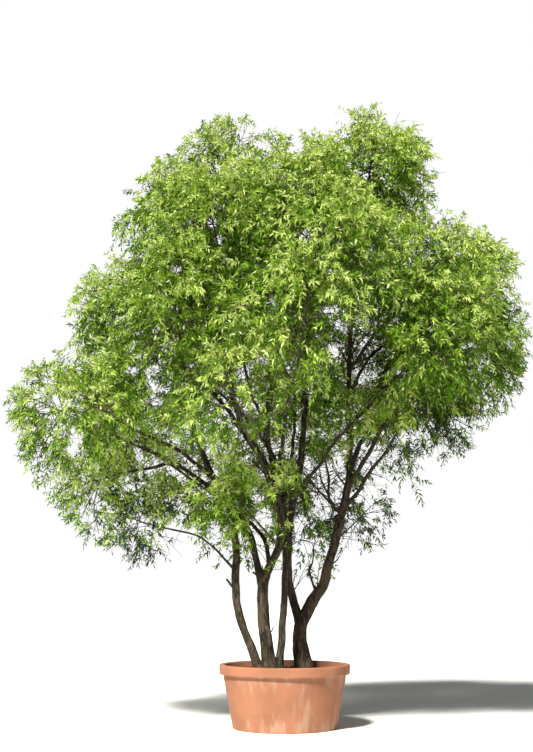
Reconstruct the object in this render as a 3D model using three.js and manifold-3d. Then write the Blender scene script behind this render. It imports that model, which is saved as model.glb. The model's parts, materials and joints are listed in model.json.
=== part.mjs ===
// A potted willow: a tall, many-stemmed tree in a plain round pot.
// Millimetres, Z up, X to the right, the middle of the pot's underside at the origin.
// The limbs follow short paths, and every mass of leaves grows by one seeded rule.
import * as THREE from "three";
import { mergeVertices } from "three/addons/utils/BufferGeometryUtils.js";
import Module from "manifold-3d";

const wasm = await Module();
wasm.setup();

// Pot
const POT_HEIGHT = 720;
const POT_RIM_RADIUS = 760;
const POT_FOOT_RADIUS = 600;
const POT_WALL = 42;
const POT_FLOOR = 60;
const POT_BAND_HEIGHT = 115;
const POT_BAND_PROUD = 24;
const POT_EDGE = 10;
const POT_SIDES = 36;
const DRAIN_COUNT = 3;
const DRAIN_RADIUS = 24;
const DRAIN_RING = 330;
const DRAIN_SIDES = 8;

// Soil
const SOIL_TOP = 650;

// The clearance that neighbouring solids keep, and how much further a corner of
// a faceted limb moves out to give it
const GAP = 0.3;
const CORNER_GAIN = 1.2;

// Limbs
const STEM_SIDES = 7;
const BOUGH_SIDES = 5;
const RINGS_PER_SPAN = 2;
const FLARE_GAIN = 0.35;
const FLARE_HEIGHT = 110;
const STUB_SIDES = 5;
const STUB_TIP = 1 / 3;
const STUB_SWELL = 4 * GAP;

// Each stem's path: X, Y and height above the soil, then its width there.
// A stem that ends in foliage gets its tip from the mass that it carries.
const STEMS = {
  stem_centre: {
    path: [
      [-170, -150, 0, 158], [-220, -150, 370, 146], [-250, -150, 770, 134], [-240, -170, 1010, 122],
      [-150, -220, 1220, 100], [-62, -250, 1450, 96], [-48, -260, 1750, 92], [-200, -260, 2300, 84],
      [-480, -220, 2790, 76], [-650, -120, 3400, 66], [-700, -40, 4300, 50],
    ],
    tip: 34,
    feeds: "top_left",
    stubs: [
      { height: 1010, bearing: 185, rise: 35, length: 130, width: 30 },
      { height: 1075, bearing: 150, rise: 80, length: 150, width: 22 },
      { height: 560, bearing: 0, rise: 60, length: 125, width: 22 },
    ],
  },
  stem_left: {
    path: [
      [-290, -200, 0, 108], [-350, -200, 180, 102], [-510, -200, 580, 94], [-568, -200, 1000, 88],
      [-562, -200, 1340, 84], [-600, -200, 1740, 80], [-700, -230, 2020, 76], [-890, -330, 2320, 70],
      [-1060, -600, 2800, 58],
    ],
    tip: 36,
    feeds: "middle_left_front",
    stubs: [{ height: 915, bearing: 180, rise: 50, length: 165, width: 34 }],
  },
  stem_slim: {
    path: [
      [-68, -105, 0, 88], [-36, -100, 370, 80], [-8, -96, 770, 78], [6, -92, 1150, 76],
      [12, -92, 1720, 70], [-20, -100, 2010, 66], [-150, -120, 2440, 60], [-210, -180, 2850, 54],
      [-150, -380, 3500, 46], [20, -620, 4200, 38],
    ],
    tip: 30,
    feeds: "top_front",
    stubs: [],
  },
  stem_right: {
    path: [
      [240, 300, 0, 192], [205, 300, 190, 188], [190, 300, 370, 176], [225, 300, 560, 156],
      [335, 300, 770, 142], [460, 300, 970, 130], [525, 300, 1190, 118], [612, 300, 1500, 106],
      [752, 300, 2050, 90], [800, 290, 2450, 78], [785, 270, 3000, 66], [812, 190, 3770, 52],
      [850, 110, 4500, 42],
    ],
    tip: 34,
    feeds: "top_right",
    stubs: [
      { height: 1190, bearing: 0, rise: 40, length: 100, width: 22 },
      { height: 850, bearing: 180, rise: 85, length: 620, width: 26 },
    ],
  },
  stem_back: {
    from: "stem_right",
    at: 480,
    path: [
      [130, 300, 720, 100], [62, 302, 1000, 92], [50, 305, 1350, 86], [82, 310, 1740, 80],
      [165, 320, 2120, 78], [215, 350, 2550, 74], [260, 440, 3200, 60], [250, 580, 4100, 42],
    ],
    tip: 30,
    feeds: "top_back",
    stubs: [],
  },
};

// Boughs, each named for the mass that it carries: the limb it leaves, how far
// up that limb, its width there, and how far its middle bows up. A bough that
// shows below the crown also passes through the points given for it.
const BOUGH_TIP = 30;
const BOUGHS = {
  lower_left: {
    from: "stem_centre", at: 960, width: 92,
    via: [[-335, -105, 1270], [-425, -62, 1600], [-680, -10, 1950], [-1130, 10, 2290], [-1510, 10, 2500]],
  },
  lower_left_back: { from: "stem_centre", at: 1190, width: 48, via: [[-310, 20, 1600], [-900, 520, 2080]] },
  lower_left_front: { from: "stem_left", at: 2200, width: 52, bow: 60 },
  lower_front: { from: "stem_centre", at: 1640, width: 50, bow: 120 },
  lower_right: {
    from: "stem_right", at: 1860, width: 48,
    via: [[880, 280, 2060], [1000, 250, 2260], [1100, 220, 2400], [1215, 190, 2540]],
  },
  skirt_outer: { from: "bough_lower_left", at: 2420, width: 40, bow: -20 },
  droop: { from: "stem_left", at: 1130, width: 26, via: [[-780, -215, 1360], [-1000, -235, 1530]], tip: 20 },
  middle_left: { from: "stem_centre", at: 2560, width: 58, bow: 150 },
  middle_left_back: { from: "stem_back", at: 2050, width: 56, bow: 140 },
  middle_back: { from: "stem_back", at: 1620, width: 58, bow: 180 },
  middle_right_back: {
    from: "stem_right", at: 2360, width: 68,
    via: [[903, 390, 2590], [980, 430, 2750], [1075, 490, 2895], [1180, 620, 3120]],
  },
  middle_right: {
    from: "stem_right", at: 2090, width: 60,
    via: [[935, 205, 2410], [1034, 170, 2567], [1174, 140, 2843], [1400, 120, 3080]],
  },
  middle_right_front: {
    from: "stem_slim", at: 1980, width: 54,
    via: [[195, -140, 2130], [310, -200, 2235], [425, -280, 2365], [578, -500, 2600]],
  },
  middle_front: { from: "stem_slim", at: 2200, width: 48, bow: 160 },
  upper_left: { from: "stem_centre", at: 3300, width: 50, bow: 120 },
  upper_left_front: {
    from: "stem_slim", at: 2520, width: 44, via: [[-245, -200, 2853], [-316, -280, 3033], [-408, -400, 3264]],
  },
  upper_left_back: { from: "stem_back", at: 3100, width: 44, bow: 120 },
  upper_back: { from: "stem_back", at: 2700, width: 46, bow: 140 },
  upper_right_back: { from: "stem_right", at: 3250, width: 46, bow: 110 },
  upper_right: { from: "stem_right", at: 2820, width: 52, bow: 120 },
  upper_right_front: { from: "stem_right", at: 3550, width: 44, bow: 60 },
  upper_front: { from: "stem_slim", at: 2950, width: 44, bow: 120 },
};

// Small masses that grow straight out of a stem's side
const SIDE_MASSES = {
  skirt_inner: { from: "stem_left", at: 1640, width: 30 },
  low_right: { from: "stem_right", at: 1480, width: 22 },
  spray_front: { from: "stem_centre", at: 1420, width: 24 },
  spray_back: { from: "stem_right", at: 1800, width: 34 },
};

// The crown: four rings of masses, one above the other. In a ring, a mass lies
// at its bearing on an ellipse round the ring's middle; rise tilts the ring up to
// the right, and drop lowers its front and back.
const BEARINGS = {
  right: 0, right_back: 45, back: 90, left_back: 135,
  left: 180, left_front: 225, front: 270, right_front: 315,
};
const ALL_ROUND = Object.keys(BEARINGS);
const RINGS = [
  {
    name: "top", height: 5925, rise: 60, drop: 550, middle: 200, halfWidth: 860, halfDepth: 850, radius: 800,
    at: ["right", "back", "left", "front"],
  },
  {
    name: "upper", height: 4870, rise: -360, drop: 280, middle: 400, halfWidth: 1690, halfDepth: 1550,
    radius: 850, at: ALL_ROUND,
  },
  {
    name: "middle", height: 3850, rise: -210, drop: 100, middle: 200, halfWidth: 1995, halfDepth: 1800,
    radius: 830, at: ALL_ROUND,
  },
  {
    name: "lower", height: 3080, rise: 80, drop: 180, middle: -530, halfWidth: 2110, halfDepth: 1550,
    radius: 720, at: ["right", "left_back", "left", "left_front", "front"],
  },
];

// Masses outside the rings: X, Y and height of the middle, then the radius
const LOW_MASSES = {
  skirt_outer: [-2180, 0, 2200, 590],
  skirt_inner: [-1000, -380, 2060, 600],
  droop: [-1680, -250, 1700, 520],
  low_right: [950, 660, 1790, 380],
  spray_front: [-560, -640, 1950, 500],
  spray_back: [400, 700, 2160, 770],
};

// Growth inside a mass
const SEED = 1207;
const ENTRY = 0.74;
const ENTRY_STEP = 0.02;
const ENTRY_LEAST = 0.05;
const CELL_MARGIN = 4;
const LIMB_MARGIN = 4;
const LEADER_START = 0.4;
const LEADER_BEND = 0.2;
const LEADER_END = 0.3;
const LEADER_TAPER = [0.5, 0.42, 0.34];
const LATERALS = 6;
const FEWEST_LATERALS = 4;
const FULL_RADIUS = 700;
const LATERAL_REACH = [0.15, 0.3];
const LATERAL_RADIUS = 9;
const LATERAL_TAPER = 0.7;
const BLADE_LENGTH = 620;
const BLADE_SHORTEST = 0.46;
const BLADE_SHRINK = 0.94;
const BLADE_WIDTH = 0.75;
const BLADE_THICKNESS = 0.036;
const BLADE_BELLY = 0.45;
const BLADE_TILT = 0.35;
const BLADE_LEAN = 1.3;
const BLADE_NECK_RADIUS = 4;
const ROOT_VOLUME = 1000;
const SIDE_BLADES = [
  { share: 0.55, yaw: 58, turn: 30 },
  { share: 0.85, yaw: 52, turn: 150 },
];
const DROOP = 0.35;

const BARK = new THREE.MeshStandardMaterial({ color: 0x6b5a45, roughness: 0.9 });
const LEAF = new THREE.MeshStandardMaterial({ color: 0x7fa02e, roughness: 0.6 });
const CLAY = new THREE.MeshStandardMaterial({ color: 0xa8623f, roughness: 0.8 });
const EARTH = new THREE.MeshStandardMaterial({ color: 0x3a2c21, roughness: 1 });

const UP = new THREE.Vector3(0, 0, 1);

// A repeatable stream of numbers from 0 to 1
function seededRandom(seed) {
  let state = seed >>> 0;
  return () => {
    state = (state + 0x6d2b79f5) >>> 0;
    let mixed = Math.imul(state ^ (state >>> 15), state | 1);
    mixed = (mixed + Math.imul(mixed ^ (mixed >>> 7), mixed | 61)) ^ mixed;
    return ((mixed ^ (mixed >>> 14)) >>> 0) / 4294967296;
  };
}

function solidFrom(positions, triangles) {
  const mesh = new wasm.Mesh({
    numProp: 3,
    vertProperties: Float32Array.from(positions),
    triVerts: Uint32Array.from(triangles),
  });
  return new wasm.Manifold(mesh);
}

function solidFromGeometry(geometry) {
  const bare = geometry.clone();
  bare.deleteAttribute("normal");
  bare.deleteAttribute("uv");
  const merged = mergeVertices(bare, 1e-3);
  return solidFrom(merged.attributes.position.array, merged.index.array);
}

function meshFrom(name, solid, material) {
  const { numProp, vertProperties, triVerts } = solid.getMesh();
  const positions = new Float32Array((vertProperties.length / numProp) * 3);
  for (let i = 0; i < positions.length / 3; i += 1) {
    positions.set(vertProperties.subarray(i * numProp, i * numProp + 3), i * 3);
  }
  const geometry = new THREE.BufferGeometry();
  geometry.setAttribute("position", new THREE.BufferAttribute(positions, 3));
  geometry.setIndex(Array.from(triVerts));
  geometry.computeVertexNormals();
  const mesh = new THREE.Mesh(geometry, material);
  mesh.name = name;
  return mesh;
}

// The largest single body of a solid: loose scraps and sealed hollows are dropped
function mainBody(solid) {
  const bodies = solid.decompose();
  return bodies.reduce((best, body) => (body.volume() > best.volume() ? body : best));
}

// A closed tube with flat ends through the given points, with a radius at each.
// The end rings can be turned square to a direction of their own.
function tube(points, radii, sides, firstAlong, lastAlong) {
  const last = points.length - 1;
  const tangents = points.map((_, i) => {
    const ahead = points[Math.min(i + 1, last)];
    const behind = points[Math.max(i - 1, 0)];
    return ahead.clone().sub(behind).normalize();
  });
  if (firstAlong) tangents[0].copy(firstAlong);
  if (lastAlong) tangents[last].copy(lastAlong);
  const side = Math.abs(tangents[0].x) < 0.8 ? new THREE.Vector3(1, 0, 0) : new THREE.Vector3(0, 1, 0);
  const positions = [];
  points.forEach((point, i) => {
    side.addScaledVector(tangents[i], -side.dot(tangents[i])).normalize();
    const other = tangents[i].clone().cross(side);
    for (let k = 0; k < sides; k += 1) {
      const angle = (2 * Math.PI * k) / sides;
      const rim = point.clone();
      rim.addScaledVector(side, radii[i] * Math.cos(angle));
      rim.addScaledVector(other, radii[i] * Math.sin(angle));
      positions.push(rim.x, rim.y, rim.z);
    }
  });
  const triangles = [];
  for (let i = 0; i < last; i += 1) {
    for (let k = 0; k < sides; k += 1) {
      const a = i * sides + k;
      const b = i * sides + ((k + 1) % sides);
      triangles.push(a, b, b + sides, a, b + sides, a + sides);
    }
  }
  for (let k = 1; k < sides - 1; k += 1) {
    triangles.push(0, k + 1, k);
    triangles.push(last * sides, last * sides + k, last * sides + k + 1);
  }
  return solidFrom(positions, triangles);
}

// A station of a three-sided twig: an even triangle about a point
function twigStation(at, along, radius) {
  return { at, along, width: radius * Math.sqrt(3), thickness: radius * 1.5 };
}

// The belly of a blade of some length, that starts at a point
function bellyStation(root, along, length) {
  const at = root.clone().addScaledVector(along, BLADE_BELLY * length);
  return { at, along, width: BLADE_WIDTH * length, thickness: BLADE_THICKNESS * length };
}

function stationCorners({ at, along, width, thickness }, normal) {
  const up = normal.clone().addScaledVector(along, -normal.dot(along)).normalize();
  const across = along.clone().cross(up);
  const low = at.clone().addScaledVector(up, -thickness / 3);
  return [
    at.clone().addScaledVector(up, (thickness * 2) / 3),
    low.clone().addScaledVector(across, -width / 2),
    low.clone().addScaledVector(across, width / 2),
  ];
}

// A closed three-sided form through its stations to a pointed tip: a twig that
// widens into a leafy blade, with its ridge to the normal
function sprig(stations, tip, normal) {
  const rings = stations.map((station) => stationCorners(station, normal));
  const corners = [...rings.flat(), tip];
  const triangles = [0, 1, 2];
  for (let i = 0; i < rings.length - 1; i += 1) {
    for (let k = 0; k < 3; k += 1) {
      const a = 3 * i + k;
      const b = 3 * i + ((k + 1) % 3);
      triangles.push(a, b + 3, b, a, a + 3, b + 3);
    }
  }
  const last = 3 * (rings.length - 1);
  for (let k = 0; k < 3; k += 1) {
    triangles.push(last + k, corners.length - 1, last + ((k + 1) % 3));
  }
  return solidFrom(corners.flatMap((corner) => corner.toArray()), triangles);
}

// Crown layout
function crownMasses() {
  const masses = [];
  for (const ring of RINGS) {
    for (const place of ring.at) {
      const bearing = THREE.MathUtils.degToRad(BEARINGS[place]);
      const centre = new THREE.Vector3(
        ring.middle + ring.halfWidth * Math.cos(bearing),
        ring.halfDepth * Math.sin(bearing),
        SOIL_TOP + ring.height + ring.rise * Math.cos(bearing) - ring.drop * Math.abs(Math.sin(bearing)),
      );
      masses.push({ name: `${ring.name}_${place}`, centre, radius: ring.radius });
    }
  }
  for (const [name, [x, y, height, radius]] of Object.entries(LOW_MASSES)) {
    masses.push({ name, centre: new THREE.Vector3(x, y, SOIL_TOP + height), radius });
  }
  return masses;
}

const masses = crownMasses();
const massNamed = (name) => masses.find((mass) => mass.name === name);

// How deep a point lies inside a mass's own space: its ball, cut by the flat
// borders that it shares with its neighbours. Negative outside.
function depthInside(point, mass) {
  const fromCentre = point.distanceTo(mass.centre);
  let depth = mass.radius - fromCentre;
  const own = fromCentre ** 2 - mass.radius ** 2;
  for (const other of masses) {
    if (other !== mass) {
      const theirs = point.distanceToSquared(other.centre) - other.radius ** 2;
      depth = Math.min(depth, (theirs - own) / (2 * mass.centre.distanceTo(other.centre)));
    }
  }
  return depth;
}

// Where a limb that comes from a point enters a mass
function entryPoint(mass, origin, tipRadius) {
  const outward = origin.clone().sub(mass.centre).normalize();
  let share = ENTRY;
  const point = mass.centre.clone();
  for (;;) {
    point.copy(mass.centre).addScaledVector(outward, share * mass.radius);
    if (depthInside(point, mass) > tipRadius + CELL_MARGIN || share < ENTRY_LEAST) return point;
    share -= ENTRY_STEP;
  }
}

// A limb's centre line and radii from its path of X, Y, Z and width
function limbLine(path) {
  const curve = new THREE.CatmullRomCurve3(
    path.map(([x, y, z]) => new THREE.Vector3(x, y, z)), false, "catmullrom", 0.5,
  );
  const spans = path.length - 1;
  const count = spans * RINGS_PER_SPAN;
  const points = [];
  const radii = [];
  for (let i = 0; i <= count; i += 1) {
    const place = i / RINGS_PER_SPAN;
    const span = Math.min(Math.floor(place), spans - 1);
    const share = place - span;
    points.push(curve.getPoint(i / count));
    radii.push(THREE.MathUtils.lerp(path[span][3], path[span + 1][3], share) / 2);
  }
  return { points, radii };
}

// The point of a limb's centre line at a height above the soil
function pointAtHeight(limb, height) {
  const z = SOIL_TOP + height;
  const next = limb.points.findIndex((point) => point.z >= z);
  const a = limb.points[next - 1];
  const b = limb.points[next];
  return a.clone().lerp(b, (z - a.z) / (b.z - a.z));
}

const limbs = {};

// A limb and its side shoots, grown by the clearance, to cut its neighbours with
function inflated(limb) {
  const radii = limb.radii.map((radius) => radius + GAP * CORNER_GAIN);
  const first = limb.points[0].clone().sub(limb.points[1]).normalize().multiplyScalar(GAP);
  const points = limb.points.slice();
  points[0] = points[0].clone().add(first);
  let solid = tube(points, radii, limb.sides, limb.squareFoot, limb.heading);
  for (const shoot of limb.stubs) {
    const swell = { length: shoot.length + GAP, width: shoot.width + STUB_SWELL };
    solid = solid.add(stub(limb, { ...shoot, ...swell }));
  }
  return solid;
}

// A short dead side shoot that is part of the stem
function stub(limb, { height, bearing, rise, length, width }) {
  const turn = THREE.MathUtils.degToRad(bearing);
  const lift = THREE.MathUtils.degToRad(rise);
  const along = new THREE.Vector3(
    Math.cos(lift) * Math.cos(turn), Math.cos(lift) * Math.sin(turn), Math.sin(lift),
  );
  const root = pointAtHeight(limb, height);
  const end = root.clone().addScaledVector(along, length);
  return tube([root, end], [width / 2, width * STUB_TIP], STUB_SIDES);
}

function addLimb(name, path, sides, details) {
  const limb = { name, sides, ...limbLine(path) };
  if (details.rooted) {
    limb.radii = limb.radii.map((radius, i) => {
      const height = limb.points[i].z - limb.points[0].z;
      return radius * (1 + FLARE_GAIN * Math.exp(-height / FLARE_HEIGHT));
    });
  }
  limb.end = limb.points.at(-1);
  limb.heading = limb.end.clone().sub(limb.points.at(-2)).normalize();
  limb.squareFoot = details.rooted ? UP : null;
  limb.stubs = details.stubs ?? [];
  let solid = tube(limb.points, limb.radii, sides, limb.squareFoot, limb.heading);
  for (const shoot of limb.stubs) {
    solid = solid.add(stub(limb, shoot));
  }
  for (const neighbour of details.cutBy) {
    solid = solid.subtract(inflated(limbs[neighbour]));
  }
  limb.solid = mainBody(solid);
  limbs[name] = limb;
}

function growStems() {
  const rooted = [];
  for (const [name, stem] of Object.entries(STEMS)) {
    const path = stem.path.map(([x, y, height, width]) => [x, y, SOIL_TOP + height, width]);
    if (stem.from) {
      const start = pointAtHeight(limbs[stem.from], stem.at);
      path.unshift([...start.toArray(), path[0][3]]);
    } else {
      path[0][2] += GAP;
    }
    const mass = massNamed(stem.feeds);
    const lastPoint = new THREE.Vector3(...path.at(-1));
    path.push([...entryPoint(mass, lastPoint, stem.tip / 2).toArray(), stem.tip]);
    const cutBy = stem.from ? [stem.from] : rooted.slice();
    const details = { rooted: !stem.from, stubs: stem.stubs, cutBy };
    addLimb(name, path, STEM_SIDES, details);
    if (!stem.from) rooted.push(name);
    mass.carrier = limbs[name];
  }
}

function growBoughs() {
  for (const [massName, bough] of Object.entries(BOUGHS)) {
    const mass = massNamed(massName);
    const start = pointAtHeight(limbs[bough.from], bough.at);
    const tipWidth = bough.tip ?? BOUGH_TIP;
    const via = (bough.via ?? []).map(([x, y, height]) => new THREE.Vector3(x, y, SOIL_TOP + height));
    const tip = entryPoint(mass, via.at(-1) ?? start, tipWidth / 2);
    if (via.length === 0) {
      const middle = start.clone().lerp(tip, 0.5);
      middle.z += bough.bow;
      via.push(middle);
    }
    const line = [start, ...via, tip];
    const path = line.map((point, i) => {
      const width = THREE.MathUtils.lerp(bough.width, tipWidth, i / (line.length - 1));
      return [...point.toArray(), width];
    });
    addLimb(`bough_${massName}`, path, BOUGH_SIDES, { cutBy: [bough.from] });
    mass.carrier = limbs[`bough_${massName}`];
  }
}

function distanceBetween(a, b, c, d) {
  const ab = b.clone().sub(a);
  const cd = d.clone().sub(c);
  const ca = a.clone().sub(c);
  const abab = ab.dot(ab);
  const abcd = ab.dot(cd);
  const cdcd = cd.dot(cd);
  const spread = abab * cdcd - abcd * abcd;
  let s = spread > 1e-9 ? (abcd * cd.dot(ca) - cdcd * ab.dot(ca)) / spread : 0;
  s = THREE.MathUtils.clamp(s, 0, 1);
  const t = THREE.MathUtils.clamp((abcd * s + cd.dot(ca)) / cdcd, 0, 1);
  s = THREE.MathUtils.clamp((abcd * t - ab.dot(ca)) / abab, 0, 1);
  return a.clone().addScaledVector(ab, s).distanceTo(c.clone().addScaledVector(cd, t));
}

// Whether a straight piece of some half width keeps clear of every limb
function clearOfLimbs(a, b, halfWidth) {
  return Object.values(limbs).every((limb) => limb.points.every((point, i) => {
    if (i === 0) return true;
    const reach = Math.max(limb.radii[i - 1], limb.radii[i]) + halfWidth + LIMB_MARGIN;
    return distanceBetween(a, b, limb.points[i - 1], point) > reach;
  }));
}

// Directions spread evenly over a ball, turned by a seeded angle
function evenDirections(count, random) {
  const golden = Math.PI * (3 - Math.sqrt(5));
  const phase = 2 * Math.PI * random();
  return Array.from({ length: count }, (_, k) => {
    const z = 1 - (2 * k + 1) / count;
    const ring = Math.sqrt(1 - z * z);
    const angle = phase + golden * k;
    return new THREE.Vector3(ring * Math.cos(angle), ring * Math.sin(angle), z);
  });
}

// A mass's twigs: a leader from its carrier to past the middle, and side twigs
// from it in even directions
function massTwigs(mass, index) {
  const random = seededRandom(SEED + index);
  const side = SIDE_MASSES[mass.name];
  const carrier = side ? limbs[side.from] : mass.carrier;
  const width = side ? side.width : carrier.radii.at(-1) * 2;
  const base = side ? pointAtHeight(carrier, side.at) : carrier.end.clone();
  const heading = side ? mass.centre.clone().sub(base).normalize() : carrier.heading;
  if (!side) base.addScaledVector(heading, GAP);
  const inward = mass.centre.clone().sub(base);
  const bend = base.clone().addScaledVector(heading, LEADER_START * inward.length());
  bend.lerp(mass.centre, LEADER_BEND);
  inward.normalize();
  const end = mass.centre.clone().addScaledVector(inward, LEADER_END * mass.radius);
  const leader = [
    twigStation(base, heading, width * LEADER_TAPER[0]),
    twigStation(bend, inward, width * LEADER_TAPER[1]),
    twigStation(mass.centre.clone(), inward, width * LEADER_TAPER[2]),
    twigStation(end, inward, LATERAL_RADIUS),
  ];
  const count = Math.max(FEWEST_LATERALS, Math.round(LATERALS * Math.min(1, mass.radius / FULL_RADIUS)));
  const directions = evenDirections(count, random).sort((a, b) => a.dot(inward) - b.dot(inward));
  const laterals = directions.map((direction, k) => {
    const place = (2 * (k + 0.5)) / count;
    const root = place < 1 ? bend.clone().lerp(mass.centre, place) : mass.centre.clone().lerp(end, place - 1);
    const [least, most] = LATERAL_REACH;
    const length = mass.radius * THREE.MathUtils.lerp(least, most, random());
    const along = direction.addScaledVector(UP, -DROOP * random()).normalize();
    return { root, neck: root.clone().addScaledVector(along, length), along };
  });
  return { side, leader, inward, laterals };
}

// Blades hang: their faces turn to the side that they grow on, give or take
function bladeNormal(root, along, random) {
  const normal = new THREE.Vector3(root.x, root.y, 0).normalize().addScaledVector(UP, BLADE_TILT);
  const lean = new THREE.Vector3(random() - 0.5, random() - 0.5, random() - 0.5);
  normal.addScaledVector(lean, BLADE_LEAN);
  return normal.addScaledVector(along, -normal.dot(along)).normalize();
}

// One mass: its leader and side twigs each widen into a blade, and every side
// twig bears a blade on either flank. A blade is as long as fits in the mass's
// space, off the limbs and off the blades already there.
function growMass(mass, index) {
  const random = seededRandom(SEED * 2 + index);
  const { side, leader, inward, laterals } = massTwigs(mass, index);
  let whole = null;
  const grow = (stations, along, normal) => {
    const neck = stations.at(-1).at;
    for (let length = BLADE_LENGTH; length > BLADE_SHORTEST * mass.radius; length *= BLADE_SHRINK) {
      const belly = bellyStation(neck, along, length);
      const tip = neck.clone().addScaledVector(along, length);
      const corners = [...stationCorners(belly, normal), tip];
      const inside = corners.every((corner) => depthInside(corner, mass) > CELL_MARGIN);
      if (inside && clearOfLimbs(neck, tip, belly.width / 2)) {
        const piece = sprig([...stations, belly], tip, normal);
        const crossing = whole ? whole.intersect(piece).volume() : 0;
        if (crossing < ROOT_VOLUME) {
          whole = whole ? whole.add(piece) : piece;
          return true;
        }
      }
    }
    return false;
  };
  const leaderNormal = bladeNormal(leader.at(-1).at, inward, random);
  if (!grow(leader, inward, leaderNormal)) {
    const blunt = leader.at(-1).at.clone().addScaledVector(inward, LATERAL_RADIUS);
    whole = sprig(leader, blunt, leaderNormal);
  }
  const grown = [];
  for (const { root, neck, along } of laterals) {
    const normal = bladeNormal(root, along, random);
    const neckRadius = LATERAL_RADIUS * LATERAL_TAPER;
    const stations = [twigStation(root, along, LATERAL_RADIUS), twigStation(neck, along, neckRadius)];
    if (clearOfLimbs(root, neck, LATERAL_RADIUS) && grow(stations, along, normal)) {
      grown.push({ root, neck, along, normal });
    }
  }
  for (const { root, neck, along, normal } of grown) {
    for (const { share, yaw, turn } of SIDE_BLADES) {
      const facing = along.clone().cross(normal).applyAxisAngle(along, -THREE.MathUtils.degToRad(turn));
      const swing = THREE.MathUtils.degToRad(yaw);
      const outward = along.clone().multiplyScalar(Math.cos(swing)).addScaledVector(facing, Math.sin(swing));
      const start = root.clone().lerp(neck, share);
      grow([twigStation(start, outward, BLADE_NECK_RADIUS)], outward, normal);
    }
  }
  if (side) whole = whole.subtract(inflated(limbs[side.from]));
  return mainBody(whole);
}

function lathe(profile) {
  const points = profile.map(([radius, z]) => new THREE.Vector2(radius, z));
  const geometry = new THREE.LatheGeometry(points, POT_SIDES);
  geometry.rotateX(Math.PI / 2);
  return solidFromGeometry(geometry);
}

function outerWallRadius(z) {
  return THREE.MathUtils.lerp(POT_FOOT_RADIUS, POT_RIM_RADIUS - POT_BAND_PROUD, z / POT_HEIGHT);
}

function innerWallRadius(z) {
  return outerWallRadius(z) - POT_WALL;
}

function pot() {
  const bandFoot = POT_HEIGHT - POT_BAND_HEIGHT;
  let solid = lathe([
    [0, 0],
    [POT_FOOT_RADIUS - POT_EDGE, 0],
    [POT_FOOT_RADIUS, POT_EDGE],
    [outerWallRadius(bandFoot), bandFoot],
    [POT_RIM_RADIUS - POT_EDGE / 2, bandFoot + POT_EDGE],
    [POT_RIM_RADIUS, POT_HEIGHT - POT_EDGE],
    [POT_RIM_RADIUS - POT_EDGE, POT_HEIGHT],
    [innerWallRadius(POT_HEIGHT) + POT_EDGE, POT_HEIGHT],
    [innerWallRadius(POT_HEIGHT - POT_EDGE), POT_HEIGHT - POT_EDGE],
    [innerWallRadius(POT_FLOOR), POT_FLOOR],
    [0, POT_FLOOR],
  ]);
  for (let k = 0; k < DRAIN_COUNT; k += 1) {
    const angle = (2 * Math.PI * k) / DRAIN_COUNT;
    const hole = new THREE.CylinderGeometry(DRAIN_RADIUS, DRAIN_RADIUS, 3 * POT_FLOOR, DRAIN_SIDES);
    hole.rotateX(Math.PI / 2);
    hole.translate(DRAIN_RING * Math.cos(angle), DRAIN_RING * Math.sin(angle), 0);
    solid = solid.subtract(solidFromGeometry(hole));
  }
  return solid;
}

function soil() {
  const bottom = POT_FLOOR + GAP;
  return lathe([
    [0, bottom],
    [innerWallRadius(bottom) - GAP, bottom],
    [innerWallRadius(SOIL_TOP) - GAP, SOIL_TOP],
    [0, SOIL_TOP],
  ]);
}

growStems();
growBoughs();

const willow = new THREE.Group();
willow.add(meshFrom("pot", pot(), CLAY));
willow.add(meshFrom("soil", soil(), EARTH));
for (const limb of Object.values(limbs)) {
  willow.add(meshFrom(limb.name, limb.solid, BARK));
}
masses.forEach((mass, index) => {
  willow.add(meshFrom(`foliage_${mass.name}`, growMass(mass, index), LEAF));
});

export default willow;
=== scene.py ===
import functools
import json
import math

import bmesh
import bpy
import numpy as np
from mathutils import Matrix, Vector
from mathutils.kdtree import KDTree

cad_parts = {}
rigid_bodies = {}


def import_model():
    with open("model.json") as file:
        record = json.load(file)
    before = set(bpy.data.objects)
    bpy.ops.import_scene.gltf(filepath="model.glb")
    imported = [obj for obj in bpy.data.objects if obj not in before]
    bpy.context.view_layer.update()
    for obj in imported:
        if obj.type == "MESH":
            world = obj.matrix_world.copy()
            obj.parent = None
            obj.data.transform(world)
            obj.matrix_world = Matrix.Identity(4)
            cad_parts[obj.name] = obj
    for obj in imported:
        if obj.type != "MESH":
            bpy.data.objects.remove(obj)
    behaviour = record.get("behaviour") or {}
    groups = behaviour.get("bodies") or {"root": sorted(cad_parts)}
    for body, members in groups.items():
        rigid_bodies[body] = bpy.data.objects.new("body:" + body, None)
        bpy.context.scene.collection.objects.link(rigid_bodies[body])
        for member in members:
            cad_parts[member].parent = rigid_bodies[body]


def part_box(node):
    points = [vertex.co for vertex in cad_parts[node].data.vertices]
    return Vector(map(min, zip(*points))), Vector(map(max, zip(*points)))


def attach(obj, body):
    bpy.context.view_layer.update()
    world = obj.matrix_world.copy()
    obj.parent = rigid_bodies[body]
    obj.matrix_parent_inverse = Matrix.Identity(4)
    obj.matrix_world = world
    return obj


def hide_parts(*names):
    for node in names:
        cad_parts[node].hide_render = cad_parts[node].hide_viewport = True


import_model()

bl_info = {
    "name": "Potted Willow",
    "version": (1, 0, 0),
    "blender": (4, 5, 0),
    "location": "3D View > Sidebar > Willow",
    "description": "Builds a many-stemmed willow in a round clay pot, leaf by leaf",
    "category": "Add Mesh",
}

# A millimetre in metres, the way up, and the turn from each twig to the next
MM = 0.001
UP = np.array([0.0, 0.0, 1.0])
GOLDEN = math.pi * (3 - math.sqrt(5))

# Lines nearer than this to an axis, or to upright, are measured off another one
NEAR_AXIS = 0.8
NEAR_UPRIGHT = 0.9

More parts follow.
